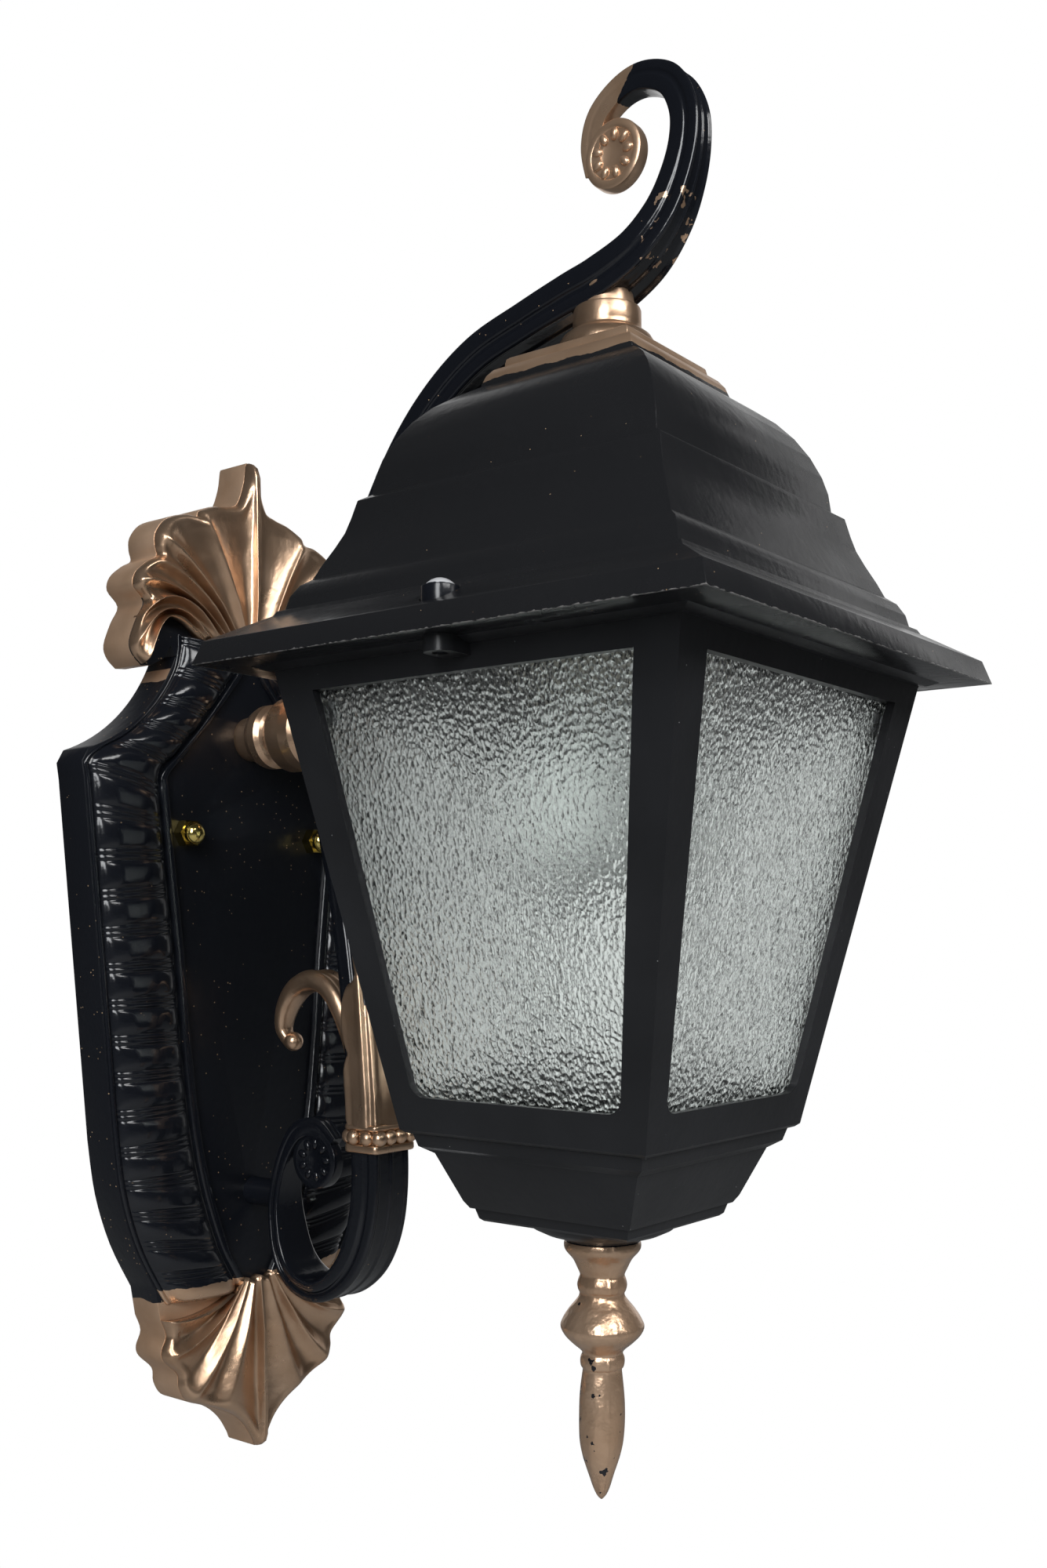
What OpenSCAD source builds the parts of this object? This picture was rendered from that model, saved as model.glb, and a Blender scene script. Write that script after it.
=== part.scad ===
// Ornate cast wall lantern: shield plate, scroll arm and a square tapered lantern.
// Origin: centre of the wall fixing, on the wall. -Y is away from the wall, +Z is up.

/* [Wall plate] */
// Half width of the shield at its shoulders
plate_half_w = 83; // [76:1:92]
// Height of the shoulder corner above the fixing centre
shoulder_z = 26; // [20:1:34]
// Depth of the plate casting at its rim
plate_d = 17; // [14:0.5:22]
// Wall of the plate casting
plate_wall = 4.5; // [3:0.5:6]
// Height of the crest tip above the fixing centre
crest_z = 155; // [148:1:170]
// Depth of the drop tip below the fixing centre
drop_z = 261; // [255:1:280]
// Height of the moulded border above the rim of the plate
border_h = 6; // [4:0.5:8]
// Length of one cushion and its pair of ribs along the border
bead_pitch = 14; // [12:0.5:20]
// Height of the flutes on the crest and the drop above the rim of the plate
flute_h = 6; // [4:0.5:8]

/* [Wall fixing] */
// Distance between the two plate studs, on a plate of the drawn width
stud_span = 71; // [62:1:73]
// Thread size of the plate studs
stud_d = 6; // [4:0.5:6]
// Width across the flats of the cap nuts
nut_flats = 10; // [9:0.5:13]
// Height of the cap nuts
nut_h = 10; // [9:0.5:13]
// Distance between the two holes that take the screws into the wall
wall_hole_span = 88; // [84:1:96]
// Diameter of the wall screw holes
wall_hole_d = 5.5; // [4:0.5:7]
// Thickness of the steel wall strap
strap_t = 2.5; // [1.5:0.5:4]
// Height of the steel wall strap
strap_h = 16; // [14:1:20]
// Diameter of the cable hole in the strap
cable_hole_d = 12; // [8:1:16]
// Distance of the terminal block below the fixing centre
terminal_drop = 34; // [28:1:60]

/* [Scroll arm] */
// Distance from the wall to the lantern's axis
reach = 197; // [190:1:205]
// Height of the joint between arm and roof above the fixing centre
neck_z = 173.6; // [168:0.2:180]
// Distance from the wall to the middle of the straight stem
stem_y = 89.4; // [86:0.2:93]
// Full width of the arm where it is widest
arm_w = 20; // [18:0.5:23]
// Full thickness of the straight stem
arm_t = 14; // [12:0.5:15]
// Radius of the neck at the joint between arm and roof
neck_r = 9.6; // [8:0.2:11]
// Radius of the disc in the top volute
top_disc_r = 11.4; // [9:0.2:12.4]
// Radius of the disc in the lower volute
low_disc_r = 12.2; // [10:0.2:13]
// Distance of the beaded collar below the fixing centre
collar_drop = 120; // [117:0.5:124]
// Radius of the beads on the collar
collar_bead_r = 3.2; // [2.6:0.1:3.6]

/* [Stays] */
// Height of the upper stay above the fixing centre
stay_z = 41; // [38:1:46]
// Largest radius of the upper stay
stay_r = 15; // [12:0.5:17]
// Distance of the lower spacer below the fixing centre
spacer_drop = 150; // [147:1:154]
// Radius of the lower spacer
spacer_r = 6; // [5:0.5:7]
// Thread size of the screw through the lower spacer
spacer_screw_d = 5; // [4:0.5:5]

/* [Roof] */
// Half width of the roof at the lower edge of its brim
brim_w = 100; // [96:1:112]
// Height of the lower edge of the brim
brim_z = 50; // [46:1:54]
// Height of the brim's edge
brim_h = 8; // [6:0.5:8.5]
// Wall of the roof casting
roof_wall = 3; // [2:0.5:4]
// Distance from the axis to each roof screw, on a brim of the drawn width
screw_x = 88; // [87:0.5:90]
// Thread size of the roof screws
screw_d = 5; // [4:0.5:6]
// Diameter of the domed heads of the roof screws
screw_head_d = 12; // [10:0.5:13]
// Height of the side of the roof screws' heads
screw_head_h = 6; // [4:0.5:7]

/* [Cage] */
// Half width of the cage below its top flange
cage_w = 80.4; // [78:0.2:82]
// Half width of the cage where the base begins
base_w = 50.9; // [48:0.2:54]
// Depth of the start of the base below the fixing centre
base_drop = 107.9; // [104:0.1:111]
// Wall of the cage casting
cage_wall = 3; // [2.5:0.5:4]
// Width of each corner post at the top, seen from the front
post_top = 15.1; // [13:0.1:18]
// Width of each corner post at the foot, seen from the front
post_foot = 9.4; // [8.5:0.1:11]
// Thickness of the glass panes
glass_t = 3; // [2:0.5:4]
// Width of glass hidden behind a corner post on each side
pane_lap = 2; // [1.5:0.1:2.4]

/* [Lampholder] */
// Diameter of the hollow threaded tubes
tube_d = 10; // [8:1:11]
// Bore of the hollow threaded tubes
tube_bore = 7; // [5:0.5:7]
// Depth of each threaded tube in the arm
tube_depth = 9.5; // [8:0.5:10]
// Distance from the roof's inside top to the top of the lampholder
holder_drop = 36; // [30:1:42]
// Outer diameter of the lampholder
holder_d = 40; // [36:1:46]
// Length of the lampholder
holder_l = 52; // [48:1:58]
// Diameter of the lamp's screw cap
cap_d = 26.4; // [25:0.1:27]
// Diameter of the lamp's bulb
bulb_d = 60; // [45:1:70]
// Length of the lamp
bulb_l = 106; // [95:1:115]

/* [Finial] */
// Largest radius of the finial
finial_r = 15.4; // [13:0.2:17]
// Length of the finial
finial_l = 94.8; // [85:0.2:105]
// Thread size of the finial's stud
finial_stud_d = 6; // [5:0.5:8]

/* [Fits] */
// Clearance round a screw or a tube in its plain hole
hole_gap = 0.3; // [0.2:0.05:0.5]
// Clearance round a thread in its nut or tapped hole
thread_gap = 0.1; // [0.05:0.05:0.2]
// Clearance between a seated piece and the wall beside it
seat_gap = 0.2; // [0.1:0.05:0.4]

/* [Hidden] */
$fn = 48;

iron = "#16181c";
copper = "#bd9470";
brass = "#c9b04a";
steel = "#a8abad";
glass = "#a9b3a6";
ivory = "#e6e1d3";

// Border, studs and roof screws are drawn for a plate and a brim of these half widths, and move
// with them
drawn_plate_w = 83;
drawn_in_w = 36;
drawn_brim_w = 100;
inset = plate_half_w - drawn_plate_w;
stud_x = stud_span / 2 + inset;
screw_at = screw_x + (brim_w - drawn_brim_w) / 2;
// Front of the shield inside its border, and depth of the hollow behind it
field_y = -(plate_d - 1);
field_depth = plate_d - 1 - plate_wall;
spacer_z = -spacer_drop;
collar_z = -collar_drop;

// The cage hangs under the brim by its flange
flange_t = 1.35;
cage_z = brim_z - flange_t;
base_z = -base_drop;
taper_angle = atan((cage_w - base_w) / (cage_z - base_z));
function cage_half(z) = lerp(base_w, cage_w, (z - base_z) / (cage_z - base_z));
// Window openings, with post widths given at their top and foot
win_top = cage_z - 7.6;
win_foot = base_z + 12;
function window_half(z) = cage_half(z) - lerp(post_foot, post_top, (z - win_foot) / (win_top - win_foot));
wall_across = cage_wall / cos(taper_angle);

// Heights of what hangs inside, from the roof's inside top downwards
roof_inside_h = 92;
roof_top_z = brim_z + roof_inside_h;
washer_t = 2.5;
tube_nut_h = 6;
tube_nut_flats = tube_d + 4;
holder_top = roof_top_z - holder_drop;
holder_foot = holder_top - holder_l;
holder_joint = holder_top - 22;
shell_t = 0.8;
contact_t = 1.6;
holder_floor = holder_joint - 3;
cap_top = holder_floor - contact_t;

function lerp(a, b, t) = a + (b - a) * t;
function clamp(v, lo, hi) = min(max(v, lo), hi);
function last(p) = p[len(p) - 1];

// One point of a smooth curve through four neighbours
function curve_point(a, b, c, d, t) =
    0.5 * (2 * b + (c - a) * t + (2 * a - 5 * b + 4 * c - d) * t * t + (3 * b - a - 3 * c + d) * t * t * t);

// A smooth curve through all the points, with n steps between neighbours
function smooth_path(p, n) = [
    for (i = [0:len(p) - 2]) for (k = [0:n - 1])
        curve_point(p[max(i - 1, 0)], p[i], p[i + 1], p[min(i + 2, len(p) - 1)], k / n),
    last(p)];

// Points on an arc, as [x, z] pairs
function arc(cx, cz, r, from, to, n) =
    [for (i = [0:n]) [cx + r * cos(lerp(from, to, i / n)), cz + r * sin(lerp(from, to, i / n))]];

// The outline whose right half is given from its upper to its lower end on the axis
function both_sides(half) =
    concat(half, [for (i = [len(half) - 1:-1:0]) if (half[i][0] > 0) [-half[i][0], half[i][1]]]);

// A solid through a row of rings of points, closed at both ends by a fan from the ring's middle
function middle(ring) = let (n = len(ring), ones = [for (p = ring) 1]) ones * ring / n;
module loft(rings) {
    n = len(rings);
    sides = len(rings[0]);
    faces = [for (j = [0:sides - 1]) let (k = (j + 1) % sides)
        each concat(
            [for (i = [0:n - 2]) each [[i * sides + j, i * sides + k, (i + 1) * sides + j],
                [(i + 1) * sides + j, i * sides + k, (i + 1) * sides + k]]],
            [[k, j, n * sides], [(n - 1) * sides + j, (n - 1) * sides + k, n * sides + 1]])];
    points = concat([for (ring = rings) each ring], [middle(rings[0]), middle(last(rings))]);
    polyhedron(points = points, faces = faces, convexity = 8);
}

// A solid square in plan that follows a profile of [half width, height] pairs
module square_loft(profile) {
    rotate([0, 0, 45])
        rotate_extrude($fn = 4)
            polygon([for (p = profile) [p[0] * sqrt(2), p[1]]]);
}

// An outline in the XZ plane made solid from y0 out to y1 in front of it
module slab(outline, y0, y1) {
    translate([0, y0, 0])
        rotate([90, 0, 0])
            linear_extrude(y0 - y1)
                polygon(outline);
}

// A cylinder along Y, from y0 out to y1 in front of it
module rod_y(x, z, r, y0, y1) {
    translate([x, y0, z])
        rotate([90, 0, 0])
            cylinder(r = r, h = y0 - y1);
}

module hex_y(x, z, flats, y0, y1) {
    translate([x, y0, z])
        rotate([90, 0, 0])
            cylinder(d = flats / cos(30), h = y0 - y1, $fn = 6);
}

// A turned piece along the lantern's axis, from a profile of [radius, height] pairs
module turned(profile) {
    translate([0, -reach, 0])
        rotate_extrude()
            polygon(profile);
}

module tube_z(r_out, r_in, z0, z1) {
    turned([[r_in, z0], [r_out, z0], [r_out, z1], [r_in, z1]]);
}

// Places a drawing on one face of the cage: x across it, y up it, z out of it
module on_face(side) {
    translate([0, -reach, 0])
        rotate([0, 0, side * 90])
            translate([0, -cage_w, cage_z])
                rotate([90 + taper_angle, 0, 0])
                    children();
}

// Outline of the wall plate, right half, as [x, z] from the crest's tip to the drop's tip.
// Crest and drop are given from their own tips.
side_foot_w = plate_half_w - 10;
crest_edge = [for (p = [[0, 0], [1.2, 1], [2.6, 9], [6.5, 18], [12.5, 20.5], [20, 22], [26.5, 25],
    [28.5, 28], [36, 28.5], [44, 32], [48.8, 38], [49.2, 43], [48.4, 47], [53, 50], [58.6, 55],
    [60, 60.5], [55, 66], [58.5, 73], [62, 82], [60.6, 87], [56.5, 90.5]]) [p[0], crest_z - p[1]]];
crest_foot = [for (p = [[51.5, 90], [45, 86.5], [41.5, 81]]) [p[0], crest_z - p[1]]];
shoulder = arc(plate_half_w + 22, shoulder_z + 73, 73.3, 203, 250, 8);
side = concat(
    [[plate_half_w, shoulder_z - 1], [plate_half_w - 0.8, shoulder_z - 7]],
    [for (t = [0.25:0.25:1]) [lerp(plate_half_w - 0.8, side_foot_w, t), lerp(shoulder_z - 7, -122, t)]],
    [[side_foot_w - 3.2, -144], [side_foot_w - 10, -165], [side_foot_w - 20, -184]]);
drop_edge = [for (p = [[51, 65], [48.4, 58], [50.8, 52], [49.5, 47.5], [43, 41], [42.2, 35], [38.5, 29],
    [31, 25.5], [23, 22], [14, 17], [7.5, 11], [3, 4], [1.5, 0.6], [0, 0]]) [p[0], p[1] - drop_z]];
crest_line = smooth_path(crest_edge, 2);
drop_line = smooth_path(drop_edge, 2);
plate_half = concat(crest_line, crest_foot, shoulder, side, drop_line);

// Outer and inner edge of one arm of the border, from the crest's foot to the drop
border_out = concat(
    [[36.5, 79], [37.2, 73]],
    arc(plate_half_w + 22, shoulder_z + 73, 76, 208, 246, 4),
    [[plate_half_w - 3, shoulder_z], [plate_half_w - 3.8, shoulder_z - 8]],
    [for (t = [0.25:0.25:1]) [lerp(plate_half_w - 3.8, side_foot_w - 3, t), lerp(shoulder_z - 8, -122, t)]],
    [[side_foot_w - 6.6, -144], [side_foot_w - 13.6, -164], [side_foot_w - 23, -182], [45, -187]]);
border_in = [for (p = [[0.6, 74], [5.7, 66], [12, 58.5], [20, 49], [28.5, 39.5], [37.5, 30], [44.6, 22.5],
    [44.6, 17], [44, 10], [41.6, -14], [37.6, -50], [34.4, -87], [30.3, -120], [24.5, -146], [15.5, -171.5],
    [8, -185], [6, -191]]) [p[0] + inset * clamp(p[0] / drawn_in_w, 0, 1), p[1]]];

// Height of the border across its width, as [share of the width, share of the height]
border_profile = [[0, -0.1], [0.09, 0.1], [0.2, 0.75], [0.4, 1], [0.6, 0.85], [0.77, 0.05], [0.84, 0.2], [1, 0.1]];
// Height along one pitch of the border: two ribs, then one cushion
rib_profile = [[0, 0.84], [0.11, 0.62], [0.22, 0.84], [0.33, 0.6], [0.66, 1]];

border_steps = 12;
border_line_out = smooth_path(border_out, border_steps);
border_line_in = smooth_path(border_in, border_steps);
border_line_mid = [for (i = [0:len(border_line_out) - 1]) (border_line_out[i] + border_line_in[i]) / 2];
function run_length(p, i = 0, sum = [0]) =
    i >= len(p) - 1 ? sum : run_length(p, i + 1, concat(sum, [last(sum) + norm(p[i + 1] - p[i])]));
border_run = run_length(border_line_mid);
border_count = floor(last(border_run) / bead_pitch);
border_pitch = last(border_run) / border_count;
// Place along the border, as a share of the list of points, at a run of s
border_place = [for (i = [0:len(border_run) - 1]) [border_run[i], i]];
function on_line(line, place) = let (i = min(floor(place), len(line) - 2)) lerp(line[i], line[i + 1], place - i);
border_stations = concat(
    [for (k = [0:border_count - 1]) for (r = rib_profile) [(k + r[0]) * border_pitch, r[1]]],
    [[last(border_run), rib_profile[0][1]]]);
border_grid = [for (st = border_stations) let (place = lookup(st[0], border_place))
    [for (p = border_profile)
        let (q = lerp(on_line(border_line_out, place), on_line(border_line_in, place), p[0]))
        [q[0], -plate_d - border_h * p[1] * (p[1] > 0.3 ? st[1] : 1), q[1]]]];

// Rows of points of a fan of flutes: each row runs from the edge to the root
fan_profile = [[0.025, -0.1], [0.06, 0.4], [0.3, 1], [0.65, 0.85], [1, 0.3]];
function bent(a, b, t) = let (c = [lerp(a[0], b[0], 0.6), lerp(a[1], b[1], 0.3)])
    (1 - t) * (1 - t) * a + 2 * t * (1 - t) * c + t * t * b;
function fan_grid(edge, root, flutes) = [for (i = [0:len(edge) - 1]) let (t = i / (len(edge) - 1))
    [for (p = fan_profile)
        let (q = bent(edge[i], on_line(root, t * (len(root) - 1)), p[0]), wave = 0.5 - 0.5 * cos(360 * flutes * t))
        [q[0], -plate_d - flute_h * p[1] * (1 - 0.45 * wave), q[1]]]];
crest_root = [for (p = [[0, 74], [3, 74], [8, 74], [14, 75], [21, 75], [28, 72.5], [35, 70.5], [43, 70.5],
    [50, 73], [55, 78], [55.5, 83]]) [p[0], crest_z - p[1]]];
drop_root = [for (p = [[45, 72.5], [39, 69.5], [32, 67.5], [24, 66.5], [15, 66.5], [7, 69], [2.5, 72],
    [0, 75]]) [p[0], p[1] - drop_z]];
crest_grid = fan_grid(crest_line, smooth_path(crest_root, 4), 6);
drop_grid = fan_grid(drop_line, smooth_path(drop_root, 4), 4);

// A closed solid with a shaped front, given as rows of points, and a flat back. The back is one
// face round the rim, or a row of faces like the front where the rim is too winding for that.
module relief(grid, back, winding) {
    ni = len(grid);
    nj = len(grid[0]);
    rim = concat([for (j = [0:nj - 1]) [0, j]], [for (i = [1:ni - 1]) [i, nj - 1]],
        [for (j = [nj - 2:-1:0]) [ni - 1, j]], [for (i = [ni - 2:-1:1]) [i, 0]]);
    nf = ni * nj;
    nr = len(rim);
    rear_place = [for (k = [0:nr - 1]) nf + (winding ? rim[k][0] * nj + rim[k][1] : k)];
    rear = winding
        ? [for (row = grid) for (p = row) [p[0], back, p[2]]]
        : [for (r = rim) let (p = grid[r[0]][r[1]]) [p[0], back, p[2]]];
    cells = [for (i = [0:ni - 2]) for (j = [0:nj - 2]) let (c = i * nj + j)
        each [[c, c + nj, c + 1], [c + nj, c + nj + 1, c + 1]]];
    walls = [for (k = [0:nr - 1]) let (a = rim[k], b = rim[(k + 1) % nr])
        [a[0] * nj + a[1], b[0] * nj + b[1], rear_place[(k + 1) % nr], rear_place[k]]];
    rear_faces = winding
        ? [for (c = cells) [c[2] + nf, c[1] + nf, c[0] + nf]]
        : [[for (k = [nr - 1:-1:0]) nf + k]];
    points = concat([for (row = grid) each row], rear);
    polyhedron(points = points, faces = concat(cells, walls, rear_faces), convexity = 6);
}

// Hollow behind the shield, and a smaller one behind the crest
pocket_half = concat([[0, 68]], [for (p = border_out) if (p[1] < 70 && p[1] > -180) [p[0] - plate_wall + 1, p[1]]],
    [[side_foot_w - 33, -182], [0, -182]]);
crest_pocket_half = [for (p = [[0, 20], [8, 27], [22, 32], [36, 38], [44, 50], [50, 62], [52, 74], [44, 79], [0, 79]])
    [p[0], crest_z - p[1]]];

module back_plate() {
    back = field_y + 2;
    color(iron)
        difference() {
            union() {
                slab(both_sides(plate_half), 0, field_y);
                for (s = [0, 1]) mirror([s, 0, 0]) {
                    relief(border_grid, back, false);
                    relief(crest_grid, back, true);
                    relief(drop_grid, back, true);
                }
            }
            slab(both_sides(pocket_half), 1, -field_depth);
            slab(both_sides(crest_pocket_half), 1, -field_depth);
            for (s = [-1, 1]) rod_y(s * stud_x, 0, stud_d / 2 + hole_gap, 1, field_y - 1);
            rod_y(0, stay_z, tube_d / 2 + hole_gap, 1, field_y - 1);
            rod_y(0, spacer_z, spacer_screw_d / 2 + hole_gap, 1, field_y - 1);
        }
}

// Strap on the wall that carries the plate's studs
module wall_strap() {
    end = wall_hole_span / 2 + 2;
    color(steel)
        difference() {
            union() {
                translate([-end, -strap_t, -strap_h / 2])
                    cube([end * 2, strap_t, strap_h]);
                for (s = [-1, 1]) rod_y(s * end, 0, strap_h / 2, 0, -strap_t);
            }
            for (s = [-1, 1]) {
                rod_y(s * wall_hole_span / 2, 0, wall_hole_d / 2, 1, -strap_t - 1);
                rod_y(s * stud_x, 0, stud_d / 2 + thread_gap, 1, -strap_t - 1);
            }
            rod_y(0, 0, cable_hole_d / 2, 1, -strap_t - 1);
        }
}

stud_end = field_y - nut_h + 3;

module strap_stud(s) {
    color(steel)
        rod_y(s * stud_x, 0, stud_d / 2, 0, stud_end);
}

module cap_nut(s) {
    x = s * stud_x;
    hex_h = nut_h * 0.45;
    dome_r = nut_flats * 0.46;
    top = field_y - nut_h;
    color(brass)
        difference() {
            union() {
                hex_y(x, 0, nut_flats, field_y, field_y - hex_h);
                rod_y(x, 0, dome_r, field_y - hex_h, top + dome_r * 0.7);
                intersection() {
                    translate([x, top + dome_r, 0])
                        sphere(r = dome_r);
                    rod_y(x, 0, dome_r, top + dome_r * 0.8, top);
                }
            }
            rod_y(x, 0, stud_d / 2 + thread_gap, field_y + 1, stud_end - 0.5);
        }
}

// Block of three terminals on the floor of the hollow behind the shield
module terminal_block() {
    w = 26;
    h = 14;
    d = min(9, field_depth - 2);
    z = -terminal_drop;
    color(ivory)
        difference() {
            translate([-w / 2, -field_depth, z - h / 2])
                cube([w, d, h]);
            for (i = [-1:1]) {
                translate([i * 8, -field_depth + d / 2, z - h])
                    cylinder(r = 1.8, h = h * 2);
                rod_y(i * 8, z, 1.6, 0, -field_depth + d / 2);
            }
        }
}

// Stations of the arm's middle line: [y, z, half thickness, half width], drawn for an arm of
// this thickness and width. The lower scroll is placed from the stem.
drawn_arm_t = 14;
drawn_arm_w = 20;
low_scroll = [[25, -126, 3.6, 2.75], [33.5, -119.6, 4, 3], [44, -122, 3.6, 3.8], [51, -133, 3, 5],
    [54, -148, 2.8, 7], [53, -162, 3, 8.4], [49, -175, 3.4, 9.3], [41.5, -183, 3.9, 9.8], [31.5, -186, 4.2, 10],
    [22, -183.5, 5, 10], [13.5, -177, 6, 10], [7.5, -169, 6.6, 10], [3, -158, 7, 10], [0.5, -145, 7, 10],
    [0, -128, 7, 10], [1.5, -104, 7, 10], [4, -80, 7, 10], [7.5, -50, 7, 10]];
// The sweep between stem and neck, as shares of the way from one to the other
sweep = [[-0.12, 0.095, 7, 10], [-0.178, 0.23, 7, 10], [-0.185, 0.33, 7, 10], [-0.15, 0.45, 7, 10],
    [-0.06, 0.61, 7, 10], [0.055, 0.735, 7, 10], [0.195, 0.843, 7, 10], [0.345, 0.92, 7, 10], [0.52, 0.975, 7, 10],
    [0.72, 1.005, 7, 10]];
// The upper scroll is placed from the joint with the roof
top_scroll = [[12, 5.6, 7.2, 10], [0, 8.4, 7.4, 9.6], [-14, 14.6, 7, 8.4], [-23.8, 24, 6.7, 6.8], [-29.5, 34.5, 6.2, 5.8],
    [-32.5, 46, 5.6, 5], [-32, 57, 5.2, 4.6], [-26.5, 66.8, 4.8, 4.2], [-16.3, 71.7, 4.4, 3.7],
    [-6.5, 71, 4.2, 3.2], [2.5, 65, 4.2, 2.9], [5.5, 56, 4, 2.75], [4, 46, 3.5, 2.75]];
sweep_foot_z = -40;
function to_size(p) = [p[0], p[1], p[2] * arm_t / drawn_arm_t, p[3] * arm_w / drawn_arm_w];
arm_points = [for (p = concat(
    [for (p = low_scroll) [p[0] - stem_y, p[1], p[2], p[3]]],
    [for (p = sweep) [-lerp(stem_y, reach, p[0]), lerp(sweep_foot_z, neck_z, p[1]), p[2], p[3]]],
    [for (p = top_scroll) [p[0] - reach, neck_z + p[1], p[2], p[3]]])) to_size(p)];
arm_line = smooth_path(arm_points, 2);
// Where the arm's back lies beside the upper stay, and how far the back of its lower scroll,
// which the spacer meets, lies behind the stem
arm_back_y = lookup(stay_z, [for (p = arm_points) if (p[1] > -130 && p[0] > -reach + 30) [p[1], p[0] + p[2]]]);
stay_seat_y = arm_back_y + 1;
scroll_back = 56.4;
spacer_seat_y = scroll_back - stem_y;

// Section of the arm: band, groove and corner bead on each side, shallow channel in front
arm_side = [[0.86, -1], [1, -0.8], [1, -0.04], [0.87, 0.18], [1, 0.4], [1, 0.84], [0.88, 1], [0.66, 0.88]];
function arm_section(t, w) = let (half = [for (p = arm_side) [lerp(1, p[0], clamp((w - 2) / 4, 0.25, 1)) * w, p[1] * t]])
    concat(half, [for (i = [len(half) - 1:-1:0]) [-half[i][0], half[i][1]]]);
function arm_ring(line, i) =
    let (a = line[max(i - 1, 0)], b = line[min(i + 1, len(line) - 1)], d = [b[0] - a[0], b[1] - a[1]], u = d / norm(d))
    [for (q = arm_section(line[i][2], line[i][3])) [q[0], line[i][0] - u[1] * q[1], line[i][1] + u[0] * q[1]]];
module band(line) {
    loft([for (i = [0:len(line) - 1]) arm_ring(line, i)]);
}

// Middles of the two discs, as [y, z]: the top one from the joint with the roof, the lower one
// from the stem
top_disc = [-3.5, 50.4];
low_disc = [34.7, -133];
// A disc across the arm with a rosette of petals on each face
disc_t = 5.8;
module volute_disc(y, z, r) {
    petals = 9;
    translate([0, y, z])
        rotate([0, 90, 0]) {
            cylinder(r = r, h = disc_t, center = true);
            for (s = [-1, 1]) for (i = [0:petals - 1])
                rotate([0, 0, i * 360 / petals])
                    translate([r * 0.5, 0, s * (disc_t / 2 - 0.5)])
                        sphere(r = r * 0.15);
        }
}

// A block round the stem from z0 to z1 that stands out from it all round
module stem_block(z0, z1, out) {
    translate([-arm_w / 2 - out, -stem_y - arm_t / 2 - out, z0])
        cube([arm_w + out * 2, arm_t + out * 2, z1 - z0]);
}

// Collar of beads where the leaf begins
module collar() {
    r = collar_bead_r;
    stem_block(collar_z - r - 3, collar_z - r + 0.4, 1.8);
    stem_block(collar_z - r, collar_z + r, 0.8);
    stem_block(collar_z + r - 0.4, collar_z + r + 2, 1.8);
    for (s = [-1, 1]) {
        for (i = [-1.5:1.5])
            translate([i * arm_w / 3.4, -stem_y + s * (arm_t / 2 + 0.8), collar_z])
                sphere(r = r);
        for (i = [-0.5:0.5])
            translate([s * (arm_w / 2 + 0.8), -stem_y + i * arm_t / 2, collar_z])
                sphere(r = r);
    }
}

// Leaf that wraps the front and sides of the stem above the collar
leaf_foot = collar_z + collar_bead_r + 1;
leaf_top = -37;
leaf_rows = 16;
leaf_angles = [140:-20:-140];
function stem_mid(z) = lookup(z, [for (p = arm_points) if (p[1] > -130 && p[0] > -reach + 30) [p[1], p[0]]]);
function squared(v) = sign(v) * sqrt(abs(v));
function leaf_point(t, a, out) = let (z = lerp(leaf_foot, leaf_top, t))
    [(arm_w / 2 + out) * squared(sin(a)), stem_mid(z) - (arm_t / 2 + out) * squared(cos(a)), z];
leaf_rings = [for (i = [0:leaf_rows])
    let (t = i / leaf_rows, lobe = abs(sin(180 * (t * 2.5 + 0.1))), reach_back = (1 - 0.5 * t * t) * (0.8 + 0.2 * lobe))
    concat(
        [for (a = leaf_angles) leaf_point(t, a * reach_back, lerp(2.4, 0.4, t * t) * (0.8 + 0.2 * cos(a * 9)))],
        [for (a = [-100, -30, 30, 100]) leaf_point(t, a * reach_back, -3)])];

// Curled tip of the leaf on the wall side of the stem, which ends in a ball
curl_points = [[9, -92, 2.9, 7.3], [14, -78, 2.8, 7.4], [22, -65, 2.6, 7], [32, -59.5, 2.4, 6.4],
    [43, -62, 2.3, 5.6], [51, -70, 2.2, 4.8], [54, -79.5, 2.2, 3.8], [50, -86, 2, 2.6]];
curl_line = smooth_path([for (p = curl_points) to_size([p[0] - stem_y, p[1], p[2], p[3]])], 3);

module scroll_arm() {
    hole = tube_d / 2 + thread_gap;
    seat_r = min(arm_w / 2, stay_r) - 0.5;
    color(iron)
        difference() {
            union() {
                band(arm_line);
                band(curl_line);
                loft(leaf_rings);
                volute_disc(top_disc[0] - reach, neck_z + top_disc[1], top_disc_r);
                volute_disc(low_disc[0] - stem_y, low_disc[1], low_disc_r);
                collar();
                translate([0, -reach, neck_z])
                    cylinder(r1 = neck_r, r2 = neck_r - 1.4, h = 9);
                rod_y(0, stay_z, seat_r, stay_seat_y, stay_seat_y - 6);
                rod_y(0, spacer_z, spacer_r, spacer_seat_y, spacer_seat_y - 3);
                translate([0, curl_points[7][0] - stem_y - 1.5, curl_points[7][1] + 1])
                    sphere(r = 4);
            }
            translate([0, -reach, neck_z - 1])
                cylinder(r = hole, h = tube_depth + 1);
            rod_y(0, stay_z, hole, stay_seat_y + 1, stay_seat_y - tube_depth);
            rod_y(0, spacer_z, spacer_screw_d / 2 + thread_gap, spacer_seat_y + 1, spacer_seat_y - 4.5);
        }
}

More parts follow.
